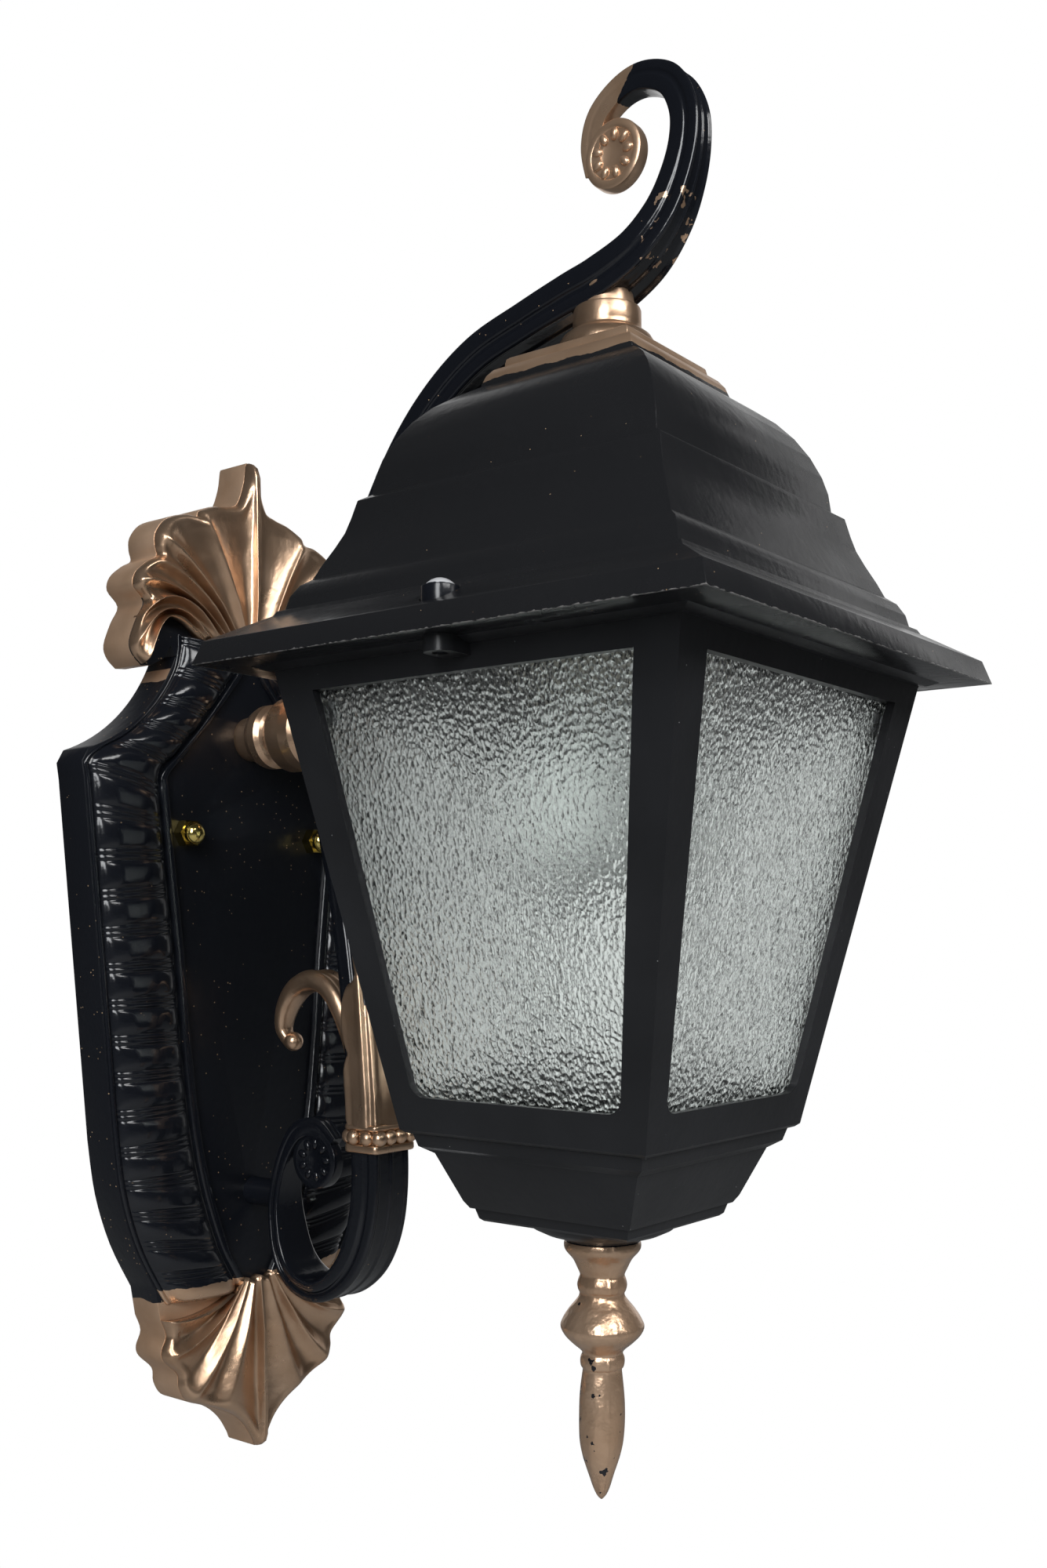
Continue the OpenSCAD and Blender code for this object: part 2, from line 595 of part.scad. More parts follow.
// Turned distance piece round the upper tube, as [radius, share of its length]
module upper_stay() {
    gap = field_y - stay_seat_y;
    r = stay_r;
    profile = [[0.6, 0], [0.6, 0.14], [0.8, 0.2], [0.87, 0.26], [0.87, 0.34], [0.78, 0.38], [0.66, 0.41], [0.68, 0.46],
        [0.9, 0.48], [1, 0.53], [1, 0.68], [0.95, 0.78], [0.82, 0.85], [0.64, 0.89], [0.6, 0.92], [0.6, 1]];
    color(copper)
        translate([0, field_y, stay_z])
            rotate([90, 0, 0])
                rotate_extrude()
                    polygon(concat([[tube_d / 2 + hole_gap, 0]], [for (p = profile) [p[0] * r, p[1] * gap]],
                        [[tube_d / 2 + hole_gap, gap]]));
}

module hollow_rod_y(z, y0, y1) {
    difference() {
        rod_y(0, z, tube_d / 2, y0, y1);
        rod_y(0, z, tube_bore / 2, y0 + 1, y1 - 1);
    }
}

module upper_tube() {
    color(steel)
        hollow_rod_y(stay_z, -field_depth + tube_nut_h + 1.5, stay_seat_y - tube_depth + 0.3);
}

module upper_tube_nut() {
    y = -field_depth;
    color(steel)
        difference() {
            hex_y(0, stay_z, tube_nut_flats, y + tube_nut_h, y);
            rod_y(0, stay_z, tube_d / 2 + thread_gap, y + tube_nut_h + 1, y - 1);
        }
}

module lower_spacer() {
    color(iron)
        difference() {
            rod_y(0, spacer_z, spacer_r, field_y, spacer_seat_y);
            rod_y(0, spacer_z, spacer_screw_d / 2 + hole_gap, field_y + 1, spacer_seat_y - 1);
        }
}

// Pan head screw from behind the plate into the arm's lower scroll
module lower_screw() {
    color(steel)
        union() {
            rod_y(0, spacer_z, spacer_screw_d, -field_depth + spacer_screw_d * 0.6, -field_depth);
            rod_y(0, spacer_z, spacer_screw_d / 2, -field_depth + 0.5, spacer_seat_y - 4);
        }
}

// Steps of the roof: brim, slope, small bead, curved cove, ledge and dome, drawn for a brim at
// this height
drawn_brim_z = 50;
roof_edge = [[0, 0], [-2.8, brim_h]];
roof_rise = [[80.8, 67], [79.8, 68.6], [77.8, 69.2], [76.75, 73.4], [74.4, 77.3], [71.3, 79.5], [69.1, 84.3],
    [66, 90.2], [63.6, 95.3], [62.1, 100.2], [60.9, 104.9], [60.5, 106.4], [57, 108.5], [56.2, 114.6],
    [54.5, 120.3], [51.4, 127], [47.3, 133.2], [42.6, 138.2], [37.1, 142.2], [30.7, 146]];
roof_crown = [[30.7, 146.6], [29.6, 149.6], [27.8, 151.8], [26.5, 152.5], [25, 153.2], [25, 154], [24.6, 155.6],
    [23.7, 156.3], [12, 158.5]];
roof_shift = brim_z - drawn_brim_z;
function on_roof(p) = [p[0], p[1] + roof_shift];
roof_outer = concat([for (p = roof_edge) [brim_w + p[0], brim_z + p[1]]],
    [for (p = roof_rise) on_roof(p)], [for (p = roof_crown) on_roof(p)]);
// Hollow of the roof: half width inside the brim, height of its sides, and height of its top
roof_inner_w = 78;
roof_inner_h = 12;
roof_inner = concat([[roof_inner_w, brim_z - 1], [roof_inner_w, brim_z + roof_inner_h]],
    [for (p = roof_rise) if (p[1] > 68) [p[0] - roof_wall, min(p[1] + roof_shift - roof_wall * 0.6, roof_top_z)]]);
// Flat spot under each roof screw
spot_h = 8.7;
spot_z = brim_z + spot_h;

module roof() {
    neck = [[0, 154], [12.6, 157.2], [12.6, 160], [12.1, 163.5], [11, 167]];
    color(iron)
        difference() {
            union() {
                translate([0, -reach, 0])
                    square_loft(concat([[0, brim_z]], roof_outer, [[0, last(roof_outer)[1]]]));
                turned(concat([for (p = neck) on_roof(p)],
                    [[neck_r + 0.2, neck_z - 4], [neck_r, neck_z - 2], [neck_r, neck_z], [0, neck_z]]));
            }
            translate([0, -reach, 0])
                square_loft(concat([[0, brim_z - 1]], roof_inner, [[0, roof_top_z]]));
            turned([[0, brim_z], [tube_d / 2 + hole_gap, brim_z], [tube_d / 2 + hole_gap, neck_z + 1], [0, neck_z + 1]]);
            for (s = [-1, 1]) translate([s * screw_at, -reach, 0]) {
                translate([0, 0, spot_z])
                    cylinder(r = screw_head_d / 2 + hole_gap, h = 20);
                translate([0, 0, brim_z - 1])
                    cylinder(r = screw_d / 2 + hole_gap, h = 20);
            }
        }
}

// Domed screw from above the brim into a lug of the cage
lug_h = 5;
module roof_screw(s) {
    r = screw_head_d / 2;
    translate([s * screw_at, -reach, 0])
        color(iron)
            union() {
                translate([0, 0, brim_z - lug_h + 0.5])
                    cylinder(r = screw_d / 2, h = lug_h + spot_z - brim_z);
                translate([0, 0, spot_z])
                    cylinder(r = r, h = screw_head_h);
                intersection() {
                    translate([0, 0, spot_z + screw_head_h - r * 0.55])
                        sphere(r = r);
                    translate([0, 0, spot_z + screw_head_h - 1])
                        cylinder(r = r * 0.8, h = r);
                }
            }
}

module hanger_tube() {
    color(steel)
        tube_z(tube_d / 2, tube_bore / 2, holder_top - 8, neck_z + tube_depth - 0.3);
}

module hanger_washer() {
    color(steel)
        tube_z(tube_d / 2 + 5, tube_d / 2 + hole_gap, roof_top_z - washer_t, roof_top_z);
}

module hanger_nut() {
    z = roof_top_z - washer_t - tube_nut_h;
    color(steel)
        translate([0, -reach, z])
            difference() {
                cylinder(d = tube_nut_flats / cos(30), h = tube_nut_h, $fn = 6);
                translate([0, 0, -1])
                    cylinder(r = tube_d / 2 + thread_gap, h = tube_nut_h + 2);
            }
}

module lampholder_cap() {
    r = holder_d / 2;
    bore = tube_d / 2 + thread_gap;
    top = holder_top;
    foot = holder_joint;
    color(ivory)
        turned([[r - 3, foot], [r, foot], [r, foot + 5], [r - 2, foot + 11], [bore + 5, foot + 15], [bore + 3.5, top],
            [bore, top], [bore, foot + 13], [r - 5, foot + 10], [r - 3, foot + 4]]);
}

module lampholder_body() {
    r = holder_d / 2;
    bore = cap_d / 2 + seat_gap + shell_t;
    color(ivory)
        turned([[bore, holder_foot], [r - 1, holder_foot], [r, holder_foot + 1], [r, holder_joint], [0, holder_joint],
            [0, holder_floor], [bore, holder_floor]]);
}

module screw_shell() {
    r = cap_d / 2 + seat_gap;
    color(brass)
        tube_z(r + shell_t, r, holder_foot + 2, holder_floor);
}

module centre_contact() {
    color(brass)
        turned([[0, cap_top], [4, cap_top], [4, holder_floor], [0, holder_floor]]);
}

// Screw cap and clear bulb of the lamp
module lamp_bulb() {
    r = cap_d / 2;
    ball = bulb_d / 2;
    mid = cap_top - bulb_l + ball;
    foot = cap_top - 22;
    neck = holder_foot - 4;
    color(glass)
        turned(concat([[0, cap_top], [4, cap_top], [5, cap_top - 1.5], [r - 1.2, cap_top - 4], [r, cap_top - 5.5], [r, foot],
            [r - 0.6, neck]],
            [for (a = [58:-8:-86]) [ball * cos(a), mid + ball * sin(a)]], [[0, mid - ball]]));
}

// Outside of the cage below its flange, down to the round boss that carries the finial
// Each step is given as [inwards from the base's half width, down from its top].
base_steps = [[1.4, 1.1], [3.3, 1.7], [4.6, 6], [8.7, 8.6], [15.7, 25.6], [17.4, 28.2], [18.7, 28.5], [19.7, 31.9],
    [20.9, 32.9]];
boss_z = base_z - last(base_steps)[1];
finial_z = base_z - 40;
base_floor = base_z - 26;
module cage() {
    inner_foot = base_w - wall_across;
    cavity = base_w - 9;
    flange_w = cage_w + 5.6;
    hole_r = finial_stud_d / 2 + hole_gap;
    color(iron)
        difference() {
            union() {
                translate([0, -reach, 0])
                    square_loft(concat(
                        [[0, brim_z], [flange_w, brim_z], [flange_w - 3.5, cage_z], [cage_w, cage_z], [base_w, base_z]],
                        [for (p = base_steps) [base_w - p[0], base_z - p[1]]], [[0, boss_z]]));
                turned([[0, boss_z + 2], [26.8, boss_z + 2], [26.8, boss_z - 0.7], [25.2, boss_z - 2.6], [21, boss_z - 4.6],
                    [15.5, boss_z - 6.2], [14, finial_z], [0, finial_z]]);
                for (s = [-1, 1]) translate([s * screw_at, -reach, brim_z - lug_h]) {
                    cylinder(r = screw_d / 2 + 2.7, h = lug_h);
                    translate([s > 0 ? cage_w - screw_at - 1.5 : 0, -screw_d / 2 - 2.7, 0])
                        cube([screw_at - cage_w + 1.5, screw_d + 5.4, lug_h]);
                }
            }
            translate([0, -reach, 0])
                square_loft([[0, brim_z + 1], [cage_w - wall_across + 0.19, brim_z + 1], [inner_foot, base_z], [0, base_z]]);
            translate([0, -reach, 0])
                square_loft([[0, base_z + 1], [cavity, base_z + 1], [cavity, base_z - 2], [cavity - 6, base_floor + 5],
                    [cavity - 8, base_floor], [0, base_floor]]);
            for (turn = [0, 90]) translate([0, -reach, 0])
                rotate([0, 0, turn])
                    slab(window_outline(), cage_w + 10, -cage_w - 10);
            turned([[0, finial_z - 1], [hole_r, finial_z - 1], [hole_r, base_floor + 1], [0, base_floor + 1]]);
            for (s = [-1, 1]) translate([s * screw_at, -reach, brim_z - lug_h - 1])
                cylinder(r = screw_d / 2 + thread_gap, h = lug_h + 2);
        }
}

// Window opening, with rounded corners at its foot
function window_outline() = let (r = 6, w = window_half(win_foot), top = window_half(win_top))
    concat([[-top, win_top], [top, win_top]],
        [for (q = arc(w - r, win_foot + r, r, 0, -90, 6)) q],
        [for (q = arc(r - w, win_foot + r, r, 270, 180, 6)) q]);

// Pane behind one window, standing on the ledge at the foot of the cage
pane_back = cage_wall + seat_gap + glass_t;
function pane_half(z) = min(window_half(z) + pane_lap, cage_half(z) - wall_across - (glass_t + seat_gap * 3) / cos(taper_angle));
module pane(side) {
    slope = cos(taper_angle);
    foot_s = (cage_z - base_z + (cage_wall + seat_gap) * sin(taper_angle)) / slope;
    top_s = 3;
    low = pane_half(base_z);
    high = pane_half(cage_z - top_s * slope);
    color(glass, 0.6)
        on_face(side)
            translate([0, 0, -pane_back])
                linear_extrude(glass_t)
                    polygon([[-low, -foot_s], [low, -foot_s], [high, -top_s], [-high, -top_s]]);
}

// Clips on the corner posts that hold the upper part of each pane
module pane_clips() {
    down = 16;
    z = cage_z - down * cos(taper_angle);
    edge = pane_half(z) + 0.6;
    color(steel)
        for (side = [0:3]) for (s = [-1, 1])
            on_face(side) translate([s * edge, -down, 0])
                mirror([s < 0 ? 1 : 0, 0, 0]) {
                    translate([0, -4, -pane_back])
                        cube([3.6, 8, pane_back - cage_wall]);
                    translate([-6, -4, -pane_back - 1])
                        cube([9.6, 8, 1]);
                }
}

// Turned finial: ring, neck, bulb, waist and flame, as [share of radius, share of length]
module finial() {
    shape = [[0.93, 0], [0.93, 0.03], [0.9, 0.045], [0.7, 0.06], [0.6, 0.09], [0.55, 0.13], [0.62, 0.16], [0.62, 0.18],
        [0.55, 0.19], [0.6, 0.205], [0.8, 0.24], [0.95, 0.285], [1, 0.325], [0.95, 0.365], [0.78, 0.4], [0.55, 0.42],
        [0.48, 0.43], [0.54, 0.445], [0.54, 0.46], [0.47, 0.48], [0.475, 0.5], [0.51, 0.57], [0.545, 0.655],
        [0.52, 0.75], [0.43, 0.835], [0.33, 0.895], [0.23, 0.955], [0.12, 0.99], [0, 1]];
    bore = finial_stud_d / 2 + thread_gap;
    color(copper)
        difference() {
            turned(concat([[0, finial_z]], [for (p = shape) [p[0] * finial_r, finial_z - p[1] * finial_l]]));
            turned([[0, finial_z + 1], [bore, finial_z + 1], [bore, finial_z - 12], [0, finial_z - 12]]);
        }
}

finial_nut_h = finial_stud_d * 0.8;
module finial_stud() {
    color(steel)
        turned([[0, finial_z - 11.5], [finial_stud_d / 2, finial_z - 11.5], [finial_stud_d / 2, base_floor + finial_nut_h + 2],
            [0, base_floor + finial_nut_h + 2]]);
}

module finial_nut() {
    color(steel)
        translate([0, -reach, base_floor])
            difference() {
                cylinder(d = finial_stud_d * 1.7 / cos(30), h = finial_nut_h, $fn = 6);
                translate([0, 0, -1])
                    cylinder(r = finial_stud_d / 2 + thread_gap, h = finial_nut_h + 2);
            }
}

wall_strap();
strap_stud(-1);  // strap_stud_left
strap_stud(1);  // strap_stud_right
back_plate();
cap_nut(-1);  // cap_nut_left
cap_nut(1);  // cap_nut_right
terminal_block();
scroll_arm();
upper_stay();
upper_tube();
upper_tube_nut();
lower_spacer();
lower_screw();
roof();
hanger_tube();
hanger_washer();
hanger_nut();
lampholder_cap();
lampholder_body();
screw_shell();
centre_contact();
lamp_bulb();
cage();
pane(0);  // glass_front
pane(1);  // glass_right
pane(2);  // glass_back
pane(3);  // glass_left
pane_clips();
roof_screw(-1);  // roof_screw_left
roof_screw(1);  // roof_screw_right
finial();
finial_stud();
finial_nut();
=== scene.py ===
# Ornate cast wall lantern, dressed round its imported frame.
import math

import bmesh
import bpy
import numpy as np
from mathutils import Matrix, Vector


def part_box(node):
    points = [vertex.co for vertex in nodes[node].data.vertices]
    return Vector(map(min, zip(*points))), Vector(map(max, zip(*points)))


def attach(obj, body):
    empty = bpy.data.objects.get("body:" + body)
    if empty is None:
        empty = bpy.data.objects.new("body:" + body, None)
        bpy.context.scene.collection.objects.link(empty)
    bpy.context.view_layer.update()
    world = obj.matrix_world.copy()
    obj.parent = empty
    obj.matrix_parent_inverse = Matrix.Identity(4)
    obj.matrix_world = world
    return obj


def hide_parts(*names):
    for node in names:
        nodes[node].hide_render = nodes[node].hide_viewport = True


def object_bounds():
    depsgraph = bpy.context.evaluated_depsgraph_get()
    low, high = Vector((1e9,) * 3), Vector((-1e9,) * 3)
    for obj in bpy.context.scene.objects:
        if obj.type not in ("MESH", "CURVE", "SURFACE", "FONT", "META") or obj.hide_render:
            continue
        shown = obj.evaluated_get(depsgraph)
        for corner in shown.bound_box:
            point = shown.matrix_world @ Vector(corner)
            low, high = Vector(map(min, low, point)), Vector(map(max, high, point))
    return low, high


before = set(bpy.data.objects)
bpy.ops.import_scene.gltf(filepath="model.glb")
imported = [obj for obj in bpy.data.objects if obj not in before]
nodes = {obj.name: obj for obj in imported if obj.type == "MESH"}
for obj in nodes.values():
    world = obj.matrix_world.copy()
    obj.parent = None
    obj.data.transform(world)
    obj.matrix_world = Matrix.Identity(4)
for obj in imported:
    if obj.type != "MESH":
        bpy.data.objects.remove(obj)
cad_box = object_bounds()
MM = 0.001

# Camera, solved from the lantern's square sections and axis in the photograph
CAMERA_PLACE = (-0.4428, -0.5017, -0.0386)
CAMERA_AZIMUTH = math.radians(-52.45)
CAMERA_ELEVATION = math.radians(3.35)
CAMERA_ROLL = math.radians(0.10)
IMAGE_H = 2000
FOCAL_PX = 1944.8
CENTRE_ROW_PX = 1300.0
SENSOR_MM = 36.0


def make_camera():
    """Camera at the photograph's place, with the picture shifted up as its crop was."""
    data = bpy.data.cameras.new("camera")
    data.sensor_fit = "VERTICAL"
    data.sensor_height = SENSOR_MM
    data.sensor_width = SENSOR_MM
    data.lens = FOCAL_PX / IMAGE_H * SENSOR_MM
    data.shift_y = (CENTRE_ROW_PX - IMAGE_H / 2) / IMAGE_H
    data.clip_start = 0.01
    a, e = CAMERA_AZIMUTH, CAMERA_ELEVATION
    back = Vector((math.sin(a) * math.cos(e), -math.cos(a) * math.cos(e), math.sin(e)))
    right = Vector((math.cos(a), math.sin(a), 0.0))
    up = back.cross(right)
    turn = Matrix.Rotation(CAMERA_ROLL, 3, back)
    right, up = turn @ right, turn @ up
    obj = bpy.data.objects.new("camera", data)
    matrix = Matrix((right, up, back)).transposed().to_4x4()
    matrix.translation = Vector(CAMERA_PLACE)
    obj.matrix_world = matrix
    bpy.context.collection.objects.link(obj)
    bpy.context.scene.camera = obj


def new_material(name):
    """A node material with its output and one Principled shader."""
    mat = bpy.data.materials.new(name)
    mat.use_nodes = True
    tree = mat.node_tree
    shader = tree.nodes["Principled BSDF"]
    return mat, tree, shader


def node(tree, kind, **values):
    """Adds a node; keys are inputs by name, or settings of the node itself."""
    made = tree.nodes.new(kind)
    for key, value in values.items():
        if key in made.inputs:
            made.inputs[key].default_value = value
        else:
            setattr(made, key, value)
    return made


def link(tree, a, b):
    """Joins output a to input b."""
    tree.links.new(a, b)


def texture_space(tree):
    """Place on the object, in metres; every piece's object sits at the origin."""
    return node(tree, "ShaderNodeTexCoord").outputs["Object"]


def noise(tree, scale, detail):
    """Soft noise from 0 to 1, with scale cells a metre."""
    made = node(tree, "ShaderNodeTexNoise", Scale=scale, Detail=detail, Roughness=0.5)
    link(tree, texture_space(tree), made.inputs["Vector"])
    return made.outputs["Fac"]


def ramp(tree, source, stops):
    """Colour ramp through (place, grey or colour) stops."""
    made = node(tree, "ShaderNodeValToRGB")
    points = made.color_ramp.elements
    while len(points) < len(stops):
        points.new(0.5)
    for point, (place, value) in zip(points, stops):
        point.position = place
        rgb = value if isinstance(value, tuple) else (value, value, value)
        point.color = (*rgb, 1.0)
    link(tree, source, made.inputs["Fac"])
    return made.outputs["Color"]


def uneven(tree, scale, detail, low, high):
    """Noise that drifts between two greys or two colours."""
    return ramp(tree, noise(tree, scale, detail), [(0.3, low), (0.7, high)])


def mix_colour(tree, share, a, b):
    """Colour a where share is 0 and b where it is 1."""
    made = node(tree, "ShaderNodeMix", data_type="RGBA")
    for socket, value in ((0, share), (6, a), (7, b)):
        if isinstance(value, bpy.types.NodeSocket):
            link(tree, value, made.inputs[socket])
        else:
            made.inputs[socket].default_value = value if socket == 0 else (*value, 1.0)
    return made.outputs[2]


def math_node(tree, operation, a, b=0.0):
    """Result of one sum on outputs or numbers."""
    made = node(tree, "ShaderNodeMath", operation=operation)
    for k, value in enumerate((a, b)):
        if isinstance(value, bpy.types.NodeSocket):
            link(tree, value, made.inputs[k])
        else:
            made.inputs[k].default_value = value
    return made.outputs[0]


def above(tree, value, limit):
    return math_node(tree, "GREATER_THAN", value, limit)


def below(tree, value, limit):
    return math_node(tree, "LESS_THAN", value, limit)


def both(tree, a, b):
    return math_node(tree, "MULTIPLY", a, b)


def either(tree, a, b):
    return math_node(tree, "MAXIMUM", a, b)


def map_range(tree, value, start, end, low, high):
    """Value brought from start and end to low and high, and held there beyond them."""
    made = node(tree, "ShaderNodeMapRange")
    link(tree, value, made.inputs["Value"])
    for key, number in (("From Min", start), ("From Max", end), ("To Min", low), ("To Max", high)):
        made.inputs[key].default_value = number
    return made.outputs["Result"]


def position(tree):
    """The point's X, Y and Z in metres, as outputs by name."""
    split = node(tree, "ShaderNodeSeparateXYZ")
    link(tree, texture_space(tree), split.inputs[0])
    return split.outputs


def ragged(tree, value, scale, detail, depth):
    """A value in metres with noise added, so that a limit on it gets a ragged edge."""
    return math_node(tree, "ADD", value, both(tree, noise(tree, scale, detail), depth))


def mix_shader(tree, share, a, b):
    """Shader a where share is 0 and b where it is 1."""
    made = node(tree, "ShaderNodeMixShader")
    for socket, source in enumerate((share, a, b)):
        link(tree, source, made.inputs[socket])
    return made.outputs[0]


def bump(tree, shader, height, distance):
    """Relief on the shader, distance metres high where height is 1."""
    made = node(tree, "ShaderNodeBump", Distance=distance, Strength=1.0)
    link(tree, height, made.inputs["Height"])
    link(tree, made.outputs["Normal"], shader.inputs["Normal"])


# Studio: what glossy rays see brightens towards the way in which the camera looks
AHEAD = (0.79, 0.61, 0.0)
AHEAD_FROM, AHEAD_TO, AHEAD_DIM = 0.6, 0.97, 0.03
AMBIENT_COLOUR, AMBIENT_POWER = (0.9, 0.95, 1.0, 1.0), 0.28
WHITE = (1.0, 1.0, 1.0, 1.0)
FLOOR_HALF_W, FLOOR_Z = 6.0, -0.9
# Lamps: name, place, width and height, power, colour
LAMPS = (("key", (-0.45, -2.1, 1.35), (1.7, 0.75), 38.0, (1.0, 1.0, 1.0)),
         ("side", (1.9, -0.5, 0.9), (0.15, 1.0), 0.4, (1.0, 1.0, 1.0)),
         ("left", (-1.6, -0.9, 0.7), (0.6, 1.3), 25.0, (0.96, 0.98, 1.0)))
LAMP_AIM = (0.0, -0.12, 0.0)


def seen_plainly(tree):
    """1 for camera rays and rays through glass, 0 for all others."""
    path = node(tree, "ShaderNodeLightPath").outputs
    return either(tree, path["Is Camera Ray"], path["Is Transmission Ray"])


def make_world():
    """White for the camera and through glass, a bright side for gloss, pale light for the rest."""
    world = bpy.data.worlds.new("studio")
    bpy.context.scene.world = world
    world.use_nodes = True
    tree = world.node_tree
    tree.nodes.clear()
    out = node(tree, "ShaderNodeOutputWorld")
    white = node(tree, "ShaderNodeBackground", Color=WHITE, Strength=1.0)
    ambient = node(tree, "ShaderNodeBackground", Color=AMBIENT_COLOUR, Strength=AMBIENT_POWER)
    gloss = node(tree, "ShaderNodeBackground", Strength=1.0)
    ahead = node(tree, "ShaderNodeVectorMath", operation="DOT_PRODUCT")
    link(tree, node(tree, "ShaderNodeTexCoord").outputs["Generated"], ahead.inputs[0])
    ahead.inputs[1].default_value = AHEAD
    shade = map_range(tree, ahead.outputs["Value"], AHEAD_FROM, AHEAD_TO, AHEAD_DIM, 1.0)
    link(tree, shade, gloss.inputs["Color"])
    glossy = node(tree, "ShaderNodeLightPath").outputs["Is Glossy Ray"]
    unseen = mix_shader(tree, glossy, ambient.outputs[0], gloss.outputs[0])
    link(tree, mix_shader(tree, seen_plainly(tree), unseen, white.outputs[0]), out.inputs["Surface"])


def make_floor():
    """Plain floor below the lantern, white to the camera and through glass, mid grey otherwise."""
    mesh = bpy.data.meshes.new("floor")
    w, z = FLOOR_HALF_W, FLOOR_Z
    mesh.from_pydata([(-w, -w, z), (w, -w, z), (w, w, z), (-w, w, z)], [], [(0, 1, 2, 3)])
    floor = bpy.data.objects.new("floor", mesh)
    bpy.context.collection.objects.link(floor)
    mat, tree, shader = new_material("floor_white")
    shader.inputs["Base Color"].default_value = (0.35, 0.35, 0.35, 1.0)
    shader.inputs["Roughness"].default_value = 0.8
    glow = node(tree, "ShaderNodeEmission", Color=WHITE, Strength=1.0)
    surface = mix_shader(tree, seen_plainly(tree), shader.outputs[0], glow.outputs[0])
    link(tree, surface, tree.nodes["Material Output"].inputs["Surface"])
    mesh.materials.append(mat)


def make_lights():
    """Large soft lamps, all turned to the middle of the lantern."""
    for name, spot, size, power, colour in LAMPS:
        data = bpy.data.lights.new(name, "AREA")
        data.shape = "RECTANGLE"
        data.size, data.size_y = size
        data.energy = power
        data.color = colour
        obj = bpy.data.objects.new(name, data)
        obj.location = spot
        obj.rotation_euler = (Vector(LAMP_AIM) - Vector(spot)).to_track_quat("-Z", "Y").to_euler()
        bpy.context.collection.objects.link(obj)


# Paints: colours, and specks as cells a metre, radius in cells, share of cells and clustering
# The third copper colour is painted shade, mixed in where the copper lies in a hollow
COPPER_DARK, COPPER_LIGHT, COPPER_PAINTED_SHADE = (0.55, 0.355, 0.225), (0.69, 0.48, 0.33), (0.30, 0.17, 0.09)
GLOSS_BLACK, SATIN_BLACK = (0.006, 0.007, 0.010), (0.0115, 0.0118, 0.013)
COPPER_DOT, GREY_DOT, IVORY_DOT = (0.4, 0.27, 0.16), (0.25, 0.25, 0.25), (0.4, 0.4, 0.36)
CHIPPED, BARE_METAL = (0.14, 0.135, 0.13), (0.45, 0.45, 0.46)
COPPER_DOTS, FEW_DOTS = (820.0, 0.2, 0.11, 0.85), (900.0, 0.16, 0.012, 0.7)
# Unevenness: scales in cells a metre, reach of the painted shade in hollows and height in metres, warp as a
# share
TINT_SCALE, GLOSS_SCALE, PEEL_SCALE = 24.0, 30.0, 260.0
PATCH_SCALE, SHEEN_SCALE, BRUSH_SCALE, CLUSTER_SCALE = 45.0, 60.0, 180.0, 22.0
PAINTED_SHADE_REACH = 0.004
METAL_TONE_SCALE, METAL_GLOSS_SCALE = 90.0, 150.0
WARP_SCALE, WARP, PEBBLE_SCALE, PEBBLE_H = 300.0, 0.0012, 700.0, 0.0006


def specks(tree, cells, radius, share, cluster):
    """1 on small round dots in a share of the cells, with fewer of them outside the clusters."""
    dots = node(tree, "ShaderNodeTexVoronoi", Scale=cells)
    link(tree, texture_space(tree), dots.inputs["Vector"])
    near = below(tree, dots.outputs["Distance"], radius)
    pick = node(tree, "ShaderNodeSeparateColor")
    link(tree, dots.outputs["Color"], pick.inputs[0])
    spread = [(0.42, 1.0 - share * (1 - cluster)), (0.66, 1.0 - share)]
    crowd = ramp(tree, noise(tree, CLUSTER_SCALE, 3.0), spread)
    return both(tree, near, above(tree, pick.outputs[0], crowd))


def enamel(name, colour, rough, shine, dot_colour, peel):
    """Paint on a casting: orange peel, uneven gloss and fine specks."""
    mat, tree, shader = new_material(name)
    lighter = tuple(1.6 * c for c in colour)
    tint = ramp(tree, noise(tree, TINT_SCALE, 5.0), [(0.3, colour), (0.75, lighter)])
    link(tree, mix_colour(tree, specks(tree, *FEW_DOTS), tint, dot_colour), shader.inputs["Base Color"])
    link(tree, uneven(tree, GLOSS_SCALE, 4.0, *rough), shader.inputs["Roughness"])
    shader.inputs["IOR"].default_value = 1.5
    shader.inputs["Specular IOR Level"].default_value = shine
    bump(tree, shader, noise(tree, PEEL_SCALE, 2.0), peel)
    return mat


def copper_paint(name):
    """Metallic copper paint: warm base, painted shade darkening the hollows, brushed unevenness."""
    mat, tree, shader = new_material(name)
    patch = uneven(tree, PATCH_SCALE, 5.0, COPPER_DARK, COPPER_LIGHT)
    # Painted shade: ambient occlusion pulls the base colour towards the dark shade colour in hollows and
    # creases
    hollow = node(tree, "ShaderNodeAmbientOcclusion", Distance=PAINTED_SHADE_REACH, samples=8)
    deep = ramp(tree, hollow.outputs["AO"], [(0.3, 1.0), (0.75, 0.0)])
    link(tree, mix_colour(tree, deep, patch, COPPER_PAINTED_SHADE), shader.inputs["Base Color"])
    shader.inputs["Metallic"].default_value = 0.92
    link(tree, uneven(tree, SHEEN_SCALE, 4.0, 0.25, 0.37), shader.inputs["Roughness"])
    bump(tree, shader, noise(tree, BRUSH_SCALE, 3.0), 0.00025)
    return mat


